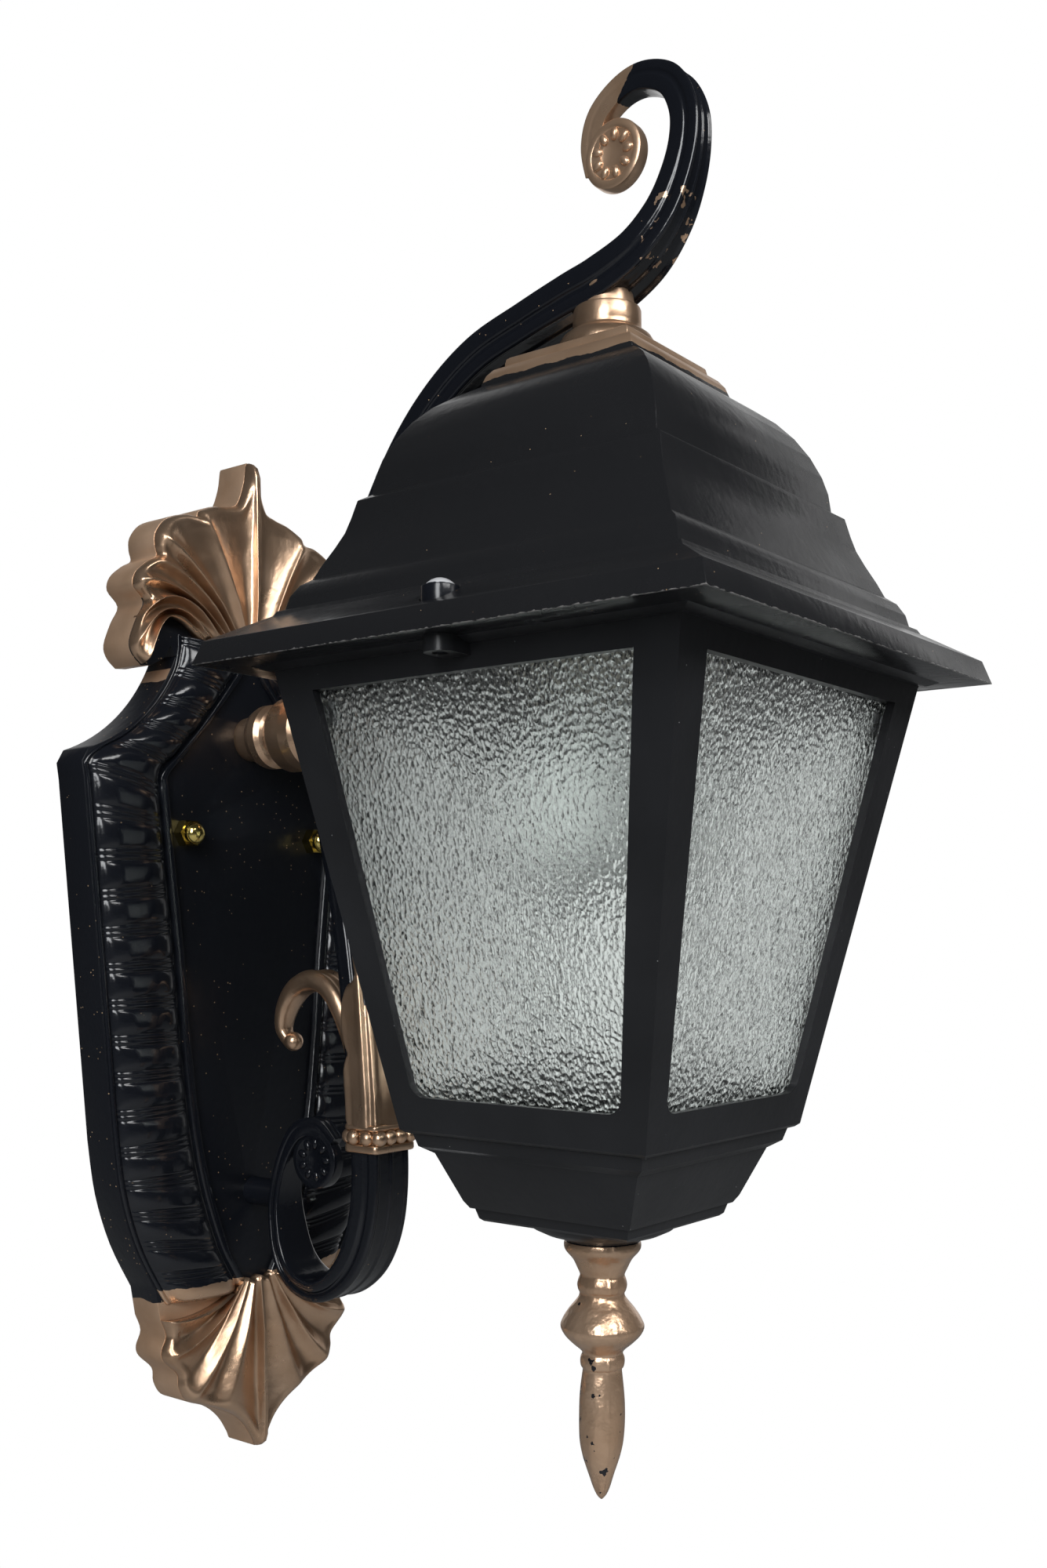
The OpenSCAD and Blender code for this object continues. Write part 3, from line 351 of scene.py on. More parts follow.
def two_paints(name, mask_of, colour, rough, shine, dots=FEW_DOTS, peel=0.00012, wear_of=None,
               wear_colour=CHIPPED, copper_rough=(0.25, 0.37)):
    """Black enamel, copper where mask_of(tree) is 1 and worn pale where wear_of(tree) is 1."""
    mat, tree, shader = new_material(name)
    mask = mask_of(tree)
    patch = uneven(tree, PATCH_SCALE, 5.0, COPPER_DARK, COPPER_LIGHT)
    black = mix_colour(tree, specks(tree, *dots), colour, COPPER_DOT)
    if wear_of:
        black = mix_colour(tree, wear_of(tree), black, wear_colour)
    link(tree, mix_colour(tree, mask, black, patch), shader.inputs["Base Color"])
    link(tree, both(tree, mask, 0.78), shader.inputs["Metallic"])
    gloss = uneven(tree, GLOSS_SCALE, 4.0, *rough)
    copper_gloss = uneven(tree, SHEEN_SCALE, 4.0, *copper_rough)
    link(tree, mix_colour(tree, mask, gloss, copper_gloss), shader.inputs["Roughness"])
    shader.inputs["Specular IOR Level"].default_value = shine
    bump(tree, shader, noise(tree, PEEL_SCALE, 2.0), peel)
    return mat


def metal(name, colour, rough):
    """Bare metal with a drifting tone and gloss."""
    mat, tree, shader = new_material(name)
    darker = tuple(c * 0.8 for c in colour)
    link(tree, uneven(tree, METAL_TONE_SCALE, 3.0, darker, colour), shader.inputs["Base Color"])
    shader.inputs["Metallic"].default_value = 1.0
    gloss = uneven(tree, METAL_GLOSS_SCALE, 3.0, rough * 0.8, rough * 1.3)
    link(tree, gloss, shader.inputs["Roughness"])
    return mat


def pebbled_glass(name):
    """Obscure glass: small soft pebbles, taller than wide, faintly green."""
    mat, tree, shader = new_material(name)
    stretch = node(tree, "ShaderNodeMapping")
    link(tree, texture_space(tree), stretch.inputs["Vector"])
    stretch.inputs["Scale"].default_value = (1.0, 1.0, 0.75)
    warp = node(tree, "ShaderNodeTexNoise", Scale=WARP_SCALE, Detail=1.0)
    link(tree, stretch.outputs[0], warp.inputs["Vector"])
    bent = node(tree, "ShaderNodeMix", data_type="VECTOR")
    bent.inputs[0].default_value = WARP
    link(tree, stretch.outputs[0], bent.inputs[4])
    link(tree, warp.outputs["Color"], bent.inputs[5])
    cells = node(tree, "ShaderNodeTexVoronoi", feature="SMOOTH_F1", Scale=PEBBLE_SCALE, Smoothness=0.4)
    link(tree, bent.outputs[1], cells.inputs["Vector"])
    shader.inputs["Base Color"].default_value = (0.86, 0.89, 0.875, 1.0)
    shader.inputs["Roughness"].default_value = 0.24
    shader.inputs["IOR"].default_value = 1.45
    shader.inputs["Transmission Weight"].default_value = 1.0
    bump(tree, shader, cells.outputs["Distance"], PEBBLE_H)
    return mat


def smooth_line(points, steps):
    """Catmull-Rom curve through points of two or more values, with steps between neighbours."""
    p = np.asarray(points, float)
    padded = np.vstack([p[0], p, p[-1]])
    t = np.linspace(0.0, 1.0, steps, endpoint=False)[:, None]
    parts = []
    for a, b, c, d in zip(padded, padded[1:], padded[2:], padded[3:]):
        square, cube = 2 * a - 5 * b + 4 * c - d, 3 * b - a - 3 * c + d
        parts.append(0.5 * (2 * b + (c - a) * t + square * t**2 + cube * t**3))
    return np.vstack([*parts, p[-1:]])


def run_of(line):
    """Distance along a line at each of its points."""
    return np.concatenate([[0.0], np.cumsum(np.linalg.norm(np.diff(line, axis=0), axis=1))])


def arc(cx, cz, r, start, end, count):
    """Points on a round stretch between two angles in degrees."""
    angles = np.radians(np.linspace(start, end, count + 1))
    return [(cx + r * math.cos(a), cz + r * math.sin(a)) for a in angles]


def mesh_piece(name, verts, faces, material, smooth=True):
    """A mesh object from millimetres, linked, shaded smooth or flat, with one material."""
    mesh = bpy.data.meshes.new(name)
    verts = [tuple(float(c) * MM for c in v) for v in verts]
    mesh.from_pydata(verts, [], [tuple(int(i) for i in f) for f in faces])
    mesh.validate()
    mesh.materials.append(material)
    obj = bpy.data.objects.new(name, mesh)
    bpy.context.collection.objects.link(obj)
    tidy(obj)
    mesh.polygons.foreach_set("use_smooth", [smooth] * len(mesh.polygons))
    return obj


def tidy(obj):
    """Welds the mesh and turns its faces outwards."""
    bm = bmesh.new()
    bm.from_mesh(obj.data)
    bmesh.ops.remove_doubles(bm, verts=bm.verts, dist=1e-6)
    bmesh.ops.recalc_face_normals(bm, faces=bm.faces)
    bm.to_mesh(obj.data)
    bm.free()


def place(obj, slot, *replaced):
    """The piece rides on the one body and may stand for CAD nodes; the slot it is given is not used."""
    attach(obj, "root")
    if replaced:
        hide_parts(*replaced)
    return obj


def relief(name, grid, back, material):
    """Closed solid with a shaped front, given as rows of points, and a flat back at y = back."""
    grid = np.asarray(grid, float)
    ni, nj, _ = grid.shape
    rim = [(0, j) for j in range(nj)] + [(i, nj - 1) for i in range(1, ni)]
    rim += [(ni - 1, j) for j in range(nj - 2, -1, -1)] + [(i, 0) for i in range(ni - 2, 0, -1)]
    front = grid.reshape(-1, 3)
    rear = [(grid[i, j][0], back, grid[i, j][2]) for i, j in rim]
    faces = []
    for i in range(ni - 1):
        for j in range(nj - 1):
            faces.append((i * nj + j, i * nj + j + 1, (i + 1) * nj + j + 1, (i + 1) * nj + j))
    count, nr = len(front), len(rim)
    for k in range(nr):
        (ai, aj), (bi, bj) = rim[k], rim[(k + 1) % nr]
        faces.append((ai * nj + aj, bi * nj + bj, count + (k + 1) % nr, count + k))
    faces.append(tuple(count + k for k in range(nr)))
    return mesh_piece(name, np.vstack([front, rear]), faces, material)


def loft(name, rings, material):
    """Closed solid through rings of points, capped at both ends."""
    rings = np.asarray(rings, float)
    n, sides, _ = rings.shape
    faces = []
    for i in range(n - 1):
        for j in range(sides):
            k = (j + 1) % sides
            faces.append((i * sides + j, i * sides + k, (i + 1) * sides + k, (i + 1) * sides + j))
    faces.append(tuple(range(sides)))
    faces.append(tuple((n - 1) * sides + j for j in range(sides)))
    return mesh_piece(name, rings.reshape(-1, 3), faces, material)


def mirrored(points):
    """The points on the other side of the lantern's middle plane."""
    out = np.array(points, float)
    out[..., 0] *= -1
    return out


def apply_modifiers(obj):
    """Makes the shown mesh the object's own."""
    graph = bpy.context.evaluated_depsgraph_get()
    mesh = bpy.data.meshes.new_from_object(obj.evaluated_get(graph))
    obj.modifiers.clear()
    obj.data = mesh


def shade_by_angle(obj, degrees):
    """Smooth shading that keeps edges sharper than the angle."""
    mesh = obj.data
    bm = bmesh.new()
    bm.from_mesh(mesh)
    limit = math.radians(degrees)
    for face in bm.faces:
        face.smooth = True
    for edge in bm.edges:
        edge.smooth = len(edge.link_faces) != 2 or edge.calc_face_angle(0.0) < limit
    bm.to_mesh(mesh)
    bm.free()


def bevel(obj, width, degrees):
    """Rounds the edges that are sharper than the angle."""
    made = obj.modifiers.new("bevel", "BEVEL")
    made.width = width * MM
    made.segments = 3
    made.limit_method = "ANGLE"
    made.angle_limit = math.radians(degrees)
    apply_modifiers(obj)


def dressed(name, material, width, slot):
    """A bevelled copy of a CAD node, so that its edges catch the light."""
    source = nodes[name]
    obj = bpy.data.objects.new(name + "_skin", source.data.copy())
    bpy.context.collection.objects.link(obj)
    obj.data.materials.clear()
    obj.data.materials.append(material)
    bm = bmesh.new()
    bm.from_mesh(obj.data)
    bmesh.ops.remove_doubles(bm, verts=bm.verts, dist=2e-6)
    flat = math.radians(0.6)
    bmesh.ops.dissolve_limit(bm, angle_limit=flat, verts=bm.verts, edges=bm.edges)
    bm.to_mesh(obj.data)
    bm.free()
    bevel(obj, width, 25.0)
    shade_by_angle(obj, 35.0)
    return place(obj, slot, name)


# Wall plate: sizes in millimetres, the form of its CAD node with the border at its full width
PLATE_D, BORDER_H, FLUTE_H = 17.0, 6.0, 6.0
PLATE_HALF_W, SHOULDER_Z, CREST_Z, DROP_Z = 84.5, 26.0, 155.0, 261.0
FIELD_Y = -(PLATE_D - 1)
SIDE_FOOT_W, SIDE_FOOT_Z = 73.0, -122
# Round hollow between crest and shoulder
SHOULDER_X, SHOULDER_RISE, SHOULDER_R, EDGE_R = PLATE_HALF_W + 22, SHOULDER_Z + 73, 73.3, 74
POCKET_Y, PLATE_WALL, CUT_FROM, CUT_TO = -11.5, 3.5, 1.0, -18.0
STUD_X, STUD_HOLE_R, STAY_HOLE_R, SPACER_HOLE_R = 35.5, 3.3, 5.3, 2.8
STAY_Z, SPACER_Z = 41.0, -150.0
CREST_EDGE = [(x, CREST_Z - d) for x, d in (
    (0, 0), (1.2, 1), (2.6, 9), (6.5, 18), (12.5, 20.5), (20, 22), (26.5, 25), (28.5, 28),
    (36, 28.5), (44, 32), (48.8, 38), (49.2, 43), (48.4, 47), (53, 50), (58.6, 55), (60, 60.5),
    (55, 66), (58.5, 73), (62, 82), (60.6, 87), (56.5, 90.5))]
CREST_FOOT = [(x, CREST_Z - d) for x, d in ((51.5, 90), (45, 86.5), (41.5, 81))]
DROP_EDGE = [(x, h - DROP_Z) for x, h in (
    (51, 65), (48.4, 58), (50.8, 52), (49.5, 47.5), (43, 41), (42.2, 35), (38.5, 29), (31, 25.5), (23, 22),
    (14, 17), (7.5, 11), (3, 4), (1.5, 0.6), (0, 0))]
# Ridges of crest and drop: place along the edge, counted in its points, then the root's x and z,
# and how far the ridge bows outwards and upwards between its ends
CREST_RIDGES = ((0.0, 0, 74, 0, 0), (7.0, 3, 76, 0, 9), (10.3, 7, 78, 0, 10),
                (12.9, 11, 79, 0, 11), (14.7, 15, 79.5, 1, 13), (16.4, 19, 79.5, 3, 18),
                (18.4, 24, 79, 6, 25), (20.0, 28, 77, 8, 27))
DROP_RIDGES = ((0.0, 13, -190, 0, -7), (2.3, 10, -187, 0, -11), (5.8, 7, -186, 0, -11),
               (8.2, 4, -188, 0, -7), (13.0, 0, -186, 0, 0))
CREST_POCKET = [(x, CREST_Z - d) for x, d in (
    (0, 20), (8, 27), (22, 32), (36, 38), (44, 50), (50, 62), (52, 74), (44, 79), (0, 79))]
BORDER_PITCH = 14.0
# Share of the border's width at which its half round starts and ends
TUBE_FROM, TUBE_TO = 0.062, 0.875
# Thin lips beside the half round: [share of the width, height]
OUTER_LIP = [(0.0, -0.6), (0.006, -0.1), (0.04, -0.1), (0.05, -0.4), (0.058, -0.8)]
INNER_LIP = [(0.885, -0.6), (0.893, -0.2), (0.903, 0.9), (0.913, 1.25), (0.95, 1.3), (0.98, 1.25),
             (0.99, 1.0), (1.0, -1.2)]
# Ribs and cushion within one pitch of the border: place, half width and height
RIB_PLACES, RIB_W, RIB_H = (0.06, 0.21, 1.06), 0.034, 0.15
CUSHION_PLACE, CUSHION_W, CUSHION_H, VALLEY_H = 0.635, 0.335, 0.24, 0.76


def lerp(a, b, t):
    return a + (b - a) * t


def side_points(x, z, x_end):
    """Four points of the straight side, from a corner down to its foot."""
    return [(lerp(x, x_end, t), lerp(z, SIDE_FOOT_Z, t)) for t in (0.25, 0.5, 0.75, 1.0)]


def shield_outline():
    """Right half of the plate's outline, from the crest's tip to the drop's tip."""
    shoulder = arc(SHOULDER_X, SHOULDER_RISE, SHOULDER_R, 203, 250, 16)
    side = [(PLATE_HALF_W, SHOULDER_Z - 1), (PLATE_HALF_W - 0.8, SHOULDER_Z - 7)]
    side += side_points(PLATE_HALF_W - 0.8, SHOULDER_Z - 7, SIDE_FOOT_W)
    foot = [(SIDE_FOOT_W, SIDE_FOOT_Z), (SIDE_FOOT_W - 3.2, -144), (SIDE_FOOT_W - 10, -165),
            (SIDE_FOOT_W - 20, -184)]
    side += [tuple(p) for p in smooth_line(foot, 4)][1:]
    crest = [tuple(p) for p in smooth_line(CREST_EDGE, 4)]
    drop = [tuple(p) for p in smooth_line(DROP_EDGE, 4)]
    return crest + CREST_FOOT + shoulder + side + drop


def both_sides(half):
    """A whole outline from its right half."""
    return list(half) + [(-x, z) for x, z in reversed(half) if x > 1e-6]


def prism(name, outline, y0, y1, material):
    """An outline in the XZ plane made solid between y0 and y1."""
    n = len(outline)
    verts = [(x, y0, z) for x, z in outline] + [(x, y1, z) for x, z in outline]
    faces = [tuple(range(n)), tuple(range(n, 2 * n))]
    faces += [(k, (k + 1) % n, n + (k + 1) % n, n + k) for k in range(n)]
    return mesh_piece(name, verts, faces, material, smooth=False)


def hole_cutter(x, z, r, material):
    """Round rod right through the plate."""
    turns = np.linspace(0, 2 * math.pi, 48, endpoint=False)
    outline = [(x + r * math.cos(a), z + r * math.sin(a)) for a in turns]
    return prism("cut_hole", outline, CUT_FROM, CUT_TO, material)


def cut(obj, cutters):
    """Takes the cutters out of the object, one after another."""
    for cutter in cutters:
        made = obj.modifiers.new("cut", "BOOLEAN")
        made.operation = "DIFFERENCE"
        made.solver = "EXACT"
        made.object = cutter
        apply_modifiers(obj)
        bpy.data.objects.remove(cutter, do_unlink=True)


def border_edges():
    """Outer and inner edge of one arm of the border, as smooth lines."""
    outer = [(38.5, 79), (38.6, 73)] + arc(SHOULDER_X, SHOULDER_RISE, EDGE_R, 208, 247, 4)
    outer += [(PLATE_HALF_W - 0.7, SHOULDER_Z - 1), (PLATE_HALF_W - 1.6, SHOULDER_Z - 8)]
    outer += side_points(PLATE_HALF_W - 1.6, SHOULDER_Z - 8, SIDE_FOOT_W - 0.8)
    outer += [(SIDE_FOOT_W - 4, -144), (SIDE_FOOT_W - 10.8, -165), (SIDE_FOOT_W - 21, -184), (48, -190)]
    inner = [(0.6, 74), (5.7, 66), (12, 58.5), (20, 49), (28.5, 39.5), (37.5, 30), (44.6, 22.5),
             (44.6, 17), (44, 10), (41.6, -14), (37.6, -50), (34.4, -87), (30.3, -120), (24.5, -146),
             (15.5, -171.5), (8, -185), (6, -191)]
    return smooth_line(outer, 24), smooth_line(inner, 24)


def rib_height(f):
    """Height along one pitch of the border: two thin ribs, then one soft cushion."""
    ribs = np.max([np.exp(-((f - place_of) / RIB_W) ** 2) for place_of in RIB_PLACES], axis=0)
    cushion = np.sqrt(np.clip(1 - ((f - CUSHION_PLACE) / CUSHION_W) ** 2, 0, 1))
    return VALLEY_H + np.maximum(RIB_H * ribs, CUSHION_H * cushion)


def border_grid():
    """Front of one arm of the border, as rows of points across it."""
    outer, inner = border_edges()
    run = run_of((outer + inner) / 2)
    count = int(run[-1] // BORDER_PITCH)
    steps = np.linspace(0.0, run[-1], count * 30 + 1)
    a = np.stack([np.interp(steps, run, c) for c in outer.T], axis=1)
    b = np.stack([np.interp(steps, run, c) for c in inner.T], axis=1)
    high = rib_height(np.mod(steps / (run[-1] / count), 1.0))
    rows = [(p, np.full_like(high, h)) for p, h in OUTER_LIP]
    for t in np.linspace(0.0, 1.0, 37):
        p = TUBE_FROM + (TUBE_TO - TUBE_FROM) * t
        across = 0.5 + ((p - TUBE_FROM) / (TUBE_TO - TUBE_FROM) - 0.5) * (1.0 + 0.10 * (1.0 - high))
        dome = np.clip(1 - np.abs(2 * across - 1) ** 2.3, 0, 1) ** 0.62
        rows.append((p, -0.8 + (BORDER_H + 0.8) * dome * high))
    rows += [(p, np.full_like(high, h)) for p, h in INNER_LIP]
    flat = [(a + (b - a) * p, rise) for p, rise in rows]
    return np.stack([np.stack([q[:, 0], -PLATE_D - rise, q[:, 1]], axis=1) for q, rise in flat], axis=1)


# Fans of crest and drop: rows from the edge to the root, height of a ridge and depth of the flute
# beside it as [place, share], and how blunt a ridge is
FAN_ROWS = np.concatenate([[0.004, 0.012, 0.022, 0.035, 0.055, 0.08], np.linspace(0.11, 1.0, 34)])
RIDGE_TOP = ((0.0, -0.1), (0.012, 0.35), (0.035, 0.72), (0.08, 0.93), (0.2, 1.0), (0.7, 0.95), (1.0, 0.6))
FLUTE_DEPTH = ((0.0, 0.1), (0.035, 0.3), (0.12, 0.6), (0.35, 0.75), (0.8, 0.7), (1.0, 0.4))
RIDGE_TIP = 0.13


def fan_grid(edge, ridges, steps, wide):
    """Thin ridges from a root to places along an edge, with hollow flutes between them.

    The ridge numbered wide is a broad flat rib."""
    line = smooth_line(edge, steps)
    n = len(line)
    table = np.array(ridges, float)
    where = np.linspace(0, len(edge) - 1, n)
    phase = np.interp(where, table[:, 0], np.arange(len(table)))
    count = np.arange(len(table))
    root_x, root_z, bow_x, bow_z = (np.interp(phase, count, table[:, k]) for k in (1, 2, 3, 4))
    near = np.abs(phase - np.round(phase)) * 2
    near = np.where(np.abs(phase - wide) < 0.5, np.clip((near - 0.24) / 0.76, 0, 1), near)
    away = (np.sqrt(near ** 2 + RIDGE_TIP**2) - RIDGE_TIP) / (math.hypot(1, RIDGE_TIP) - RIDGE_TIP)
    ridge = (1 - away) ** 1.9
    root = np.stack([root_x, root_z], axis=1)
    middle = (line + root) / 2 + np.stack([bow_x, bow_z], axis=1)
    grid = []
    for v in FAN_ROWS:
        q = (1 - v) ** 2 * line + 2 * v * (1 - v) * middle + v**2 * root
        top, depth = np.interp(v, *zip(*RIDGE_TOP)), np.interp(v, *zip(*FLUTE_DEPTH))
        rise = FLUTE_H * top * (1 - depth * (1 - ridge))
        grid.append(np.stack([q[:, 0], -PLATE_D - rise, q[:, 1]], axis=1))
    return np.stack(grid, axis=1)


def make_plate(m):
    """Shield casting: hollow body, border, crest and drop."""
    back = FIELD_Y + 2
    body = prism("plate_body", both_sides(shield_outline()), 0.0, FIELD_Y, m["field"])
    outer, _ = border_edges()
    pocket = [(0, 68)] + [(x - PLATE_WALL, z) for x, z in outer[::4] if -180 < z < 70]
    pocket += [(SIDE_FOOT_W - 33, -182), (0, -182)]
    cutters = [prism("cut_a", both_sides(pocket), CUT_FROM, POCKET_Y, m["plate"]),
               prism("cut_b", both_sides(CREST_POCKET), CUT_FROM, POCKET_Y, m["plate"])]
    for x, z, r in ((-STUD_X, 0, STUD_HOLE_R), (STUD_X, 0, STUD_HOLE_R), (0, STAY_Z, STAY_HOLE_R),
                    (0, SPACER_Z, SPACER_HOLE_R)):
        cutters.append(hole_cutter(x, z, r, m["plate"]))
    cut(body, cutters)
    bevel(body, 0.7, 50.0)
    shade_by_angle(body, 40.0)
    place(body, "plate_enamel", "back_plate")
    grid = border_grid()
    crest = fan_grid(CREST_EDGE, CREST_RIDGES, 14, 0)
    drop = fan_grid(DROP_EDGE, DROP_RIDGES, 18, len(DROP_RIDGES) - 1)
    for side, points in (("right", np.array), ("left", mirrored)):
        place(relief("border_" + side, points(grid), back, m["border"]), "plate_enamel", "back_plate")
        place(relief("crest_" + side, points(crest), back, m["copper"]), "plate_enamel", "back_plate")
        place(relief("drop_" + side, points(drop), back, m["copper"]), "plate_enamel", "back_plate")


# Scroll arm: stations of [y, z, half thickness, half width], the same as its CAD node's
REACH, NECK_Z, STEM_Y, ARM_W, ARM_T = 197.0, 173.6, 89.4, 20.0, 14.0
COLLAR_Z, BEAD_R, NECK_R, SPACER_SEAT_Y = -120.0, 3.2, 9.6, 56.4 - STEM_Y
# Volute discs: y, z and radius, then half thickness and number of petals
TOP_DISC, LOW_DISC = (-3.5 - REACH, NECK_Z + 50.4, 11.4), (34.7 - STEM_Y, -133.0, 12.2)
DISC_T, PETALS = 2.9, 9
LOW_SCROLL = [[25, -126, 3.6, 2.75], [33.5, -119.6, 4, 3], [44, -122, 3.6, 3.8], [51, -133, 3, 5],
              [54, -148, 2.8, 7], [53, -162, 3, 8.4], [49, -175, 3.4, 9.3], [41.5, -183, 3.9, 9.8],
              [31.5, -186, 4.2, 10], [22, -183.5, 5, 10], [13.5, -177, 6, 10], [7.5, -169, 6.6, 10],
              [3, -158, 7, 10], [0.5, -145, 7, 10], [0, -128, 7, 10], [1.5, -104, 7, 10],
              [4, -80, 7, 10], [7.5, -50, 7, 10]]
SWEEP = [[-0.12, 0.095, 7, 10], [-0.178, 0.23, 7, 10], [-0.185, 0.33, 7, 10], [-0.15, 0.45, 7, 10],
         [-0.06, 0.61, 7, 10], [0.055, 0.735, 7, 10], [0.195, 0.843, 7, 10], [0.345, 0.92, 7, 10],
         [0.52, 0.975, 7, 10], [0.72, 1.005, 7, 10]]
TOP_SCROLL = [[12, 5.6, 7.2, 10], [0, 8.4, 7.4, 9.6], [-14, 14.6, 7, 8.4], [-23.8, 24, 6.7, 6.8],
              [-29.5, 34.5, 6.2, 5.8], [-32.5, 46, 5.6, 5], [-32, 57, 5.2, 4.6], [-26.5, 66.8, 4.8, 4.2],
              [-16.3, 71.7, 4.4, 3.7], [-6.5, 71, 4.2, 3.2], [2.5, 65, 4.2, 2.9], [5.5, 56, 4, 2.75],
              [4, 46, 3.5, 2.75]]
SWEEP_FOOT_Z = -40.0
ARM_POINTS = ([[p[0] - STEM_Y, *p[1:]] for p in LOW_SCROLL]
              + [[-lerp(STEM_Y, REACH, p[0]), lerp(SWEEP_FOOT_Z, NECK_Z, p[1]), *p[2:]] for p in SWEEP]
              + [[p[0] - REACH, NECK_Z + p[1], *p[2:]] for p in TOP_SCROLL])
CURL_POINTS = [[p[0] - STEM_Y, *p[1:]] for p in (
    [9, -92, 3.4, 7.3], [14, -78, 3.8, 7.4], [22, -65, 4.2, 7.4], [32, -59.5, 4.4, 7.2],
    [43, -62, 3.8, 6.6], [51, -70, 3.2, 5.4], [54, -79.5, 2.6, 3.8], [50, -86, 2, 2.6])]
# Half sections from the back's middle round the side to the front's middle: [across, out]
ARM_SIDE = [(0.0, -1.0), (0.4, -1.0), (0.78, -1.0), (0.9, -0.97), (0.97, -0.9), (1.0, -0.8),
            (1.0, -0.5), (1.0, -0.12), (0.985, -0.03), (0.93, 0.03), (0.885, 0.1), (0.87, 0.18),
            (0.885, 0.26), (0.93, 0.33), (0.985, 0.39), (1.0, 0.48), (1.0, 0.72), (0.985, 0.86),
            (0.94, 0.96), (0.88, 1.0), (0.81, 0.985), (0.76, 0.93), (0.72, 0.88), (0.6, 0.86),
            (0.4, 0.87), (0.2, 0.87), (0.12, 0.87), (0.09, 0.9), (0.06, 0.95), (0.0, 0.965)]
CURL_SIDE = [(0.0, -1.0), (0.5, -0.95), (0.9, -0.6), (1.0, 0.0), (0.96, 0.5), (0.8, 0.9), (0.6, 1.05),
             (0.35, 0.8), (0.15, 0.9), (0.0, 1.0)]


def stem_line(across):
    """Heights along the stem, and across(station) at each of them."""
    line = [p for p in ARM_POINTS if p[1] > -130 and p[0] > 30 - REACH]
    return [p[1] for p in line], [across(p) for p in line]


def stem_middle(z):
    return float(np.interp(z, *stem_line(lambda p: p[0])))


def arm_ring(line, i, section):
    """Section of a swept band at one station, square to its run."""
    a, b = line[max(i - 1, 0)], line[min(i + 1, len(line) - 1)]
    u = (b[:2] - a[:2]) / np.linalg.norm(b[:2] - a[:2])
    y, z, t, w = line[i]
    squeeze = min(max((w - 2) / 4, 0.25), 1.0)
    half = []
    for across, out in section:
        half.append((w * (lerp(1, across, squeeze) if across > 0.86 else across), t * out))
    ring = half + [(-q[0], q[1]) for q in reversed(half) if q[0] > 1e-6]
    return [(q[0], y - u[1] * q[1], z + u[0] * q[1]) for q in ring]


def band(name, points, section, material):
    """Closed band swept along stations, with a section that narrows with it."""
    line = smooth_line(points, 8)
    obj = loft(name, [arm_ring(line, i, section) for i in range(len(line))], material)
    shade_by_angle(obj, 60.0)
    return obj


def lathe(name, profile, centre, axis, material, sides=72, angle=40.0):
    """Turned piece from [radius, height] pairs along x, y or z through a centre."""
    turns = np.linspace(0, 2 * math.pi, sides, endpoint=False)
    turned = {"x": lambda r, h, a: (h, r * math.cos(a), r * math.sin(a)),
              "y": lambda r, h, a: (r * math.cos(a), h, r * math.sin(a)),
              "z": lambda r, h, a: (r * math.cos(a), r * math.sin(a), h)}[axis]
    rings = [[turned(max(r, 0.02), h, a) for a in turns] for r, h in profile]
    obj = loft(name, np.asarray(rings, float) + np.asarray(centre, float), material)
    shade_by_angle(obj, angle)
    return obj


def blob(name, centre, radii, material, turn=0.0):
    """Ellipsoid; turn is its angle round the X axis."""
    mesh = bpy.data.meshes.new(name)
    bm = bmesh.new()
    bmesh.ops.create_uvsphere(bm, u_segments=24, v_segments=14, radius=1.0)
    spin = Matrix.Rotation(turn, 4, "X")
    for v in bm.verts:
        p = spin @ Vector((v.co.x * radii[0], v.co.y * radii[1], v.co.z * radii[2]))
        v.co = Vector([(a + b) * MM for a, b in zip(centre, p)])
    for face in bm.faces:
        face.smooth = True
    bm.to_mesh(mesh)
    bm.free()
    mesh.materials.append(material)
    obj = bpy.data.objects.new(name, mesh)
    bpy.context.collection.objects.link(obj)
    return obj


def joined(name, parts):
    """One object from several, with the first one's materials."""
    for part in parts:
        part.select_set(True)
    bpy.context.view_layer.objects.active = parts[0]
    chosen = {"active_object": parts[0], "selected_editable_objects": parts, "object": parts[0]}
    with bpy.context.temp_override(**chosen):
        bpy.ops.object.join()
    parts[0].name = name
    return parts[0]


def volute_disc(name, disc, material):
    """Disc with a rounded rim, a shallow dish and petals round it on each face."""
    y, z, r = disc
    face = [(0.0, 0.9), (0.34, 0.9), (0.40, 0.6), (0.45, 0.45), (0.72, 0.45), (0.76, 0.05), (0.82, 0.0),
            (0.93, 0.05), (0.985, 0.5), (1.0, 1.2)]
    half = [(r * across, DISC_T - deep) for across, deep in face]
    profile = [(a, -h) for a, h in half] + [(a, h) for a, h in reversed(half)]
    parts = [lathe(name, profile, (0, y, z), "x", material, 96)]
    for side in (-1, 1):
        for i in range(PETALS):
            a = i * 2 * math.pi / PETALS + 0.3
            c = (side * (DISC_T - 0.5), y + 0.56 * r * math.cos(a), z + 0.56 * r * math.sin(a))
            parts.append(blob("petal", c, (1.3, 0.19 * r, 0.13 * r), material, a))
    return joined(name, parts)


def round_stem(angle, out, middle, z):
    """Points out from the stem's middle by a distance beyond its faces, with square shoulders."""
    across, deep = np.sin(angle), np.cos(angle)
    x = (ARM_W / 2 + out) * np.sign(across) * np.sqrt(np.abs(across))
    y = middle - (ARM_T / 2 + out) * np.sign(deep) * np.sqrt(np.abs(deep))
    return np.stack([x, y, z], axis=2)


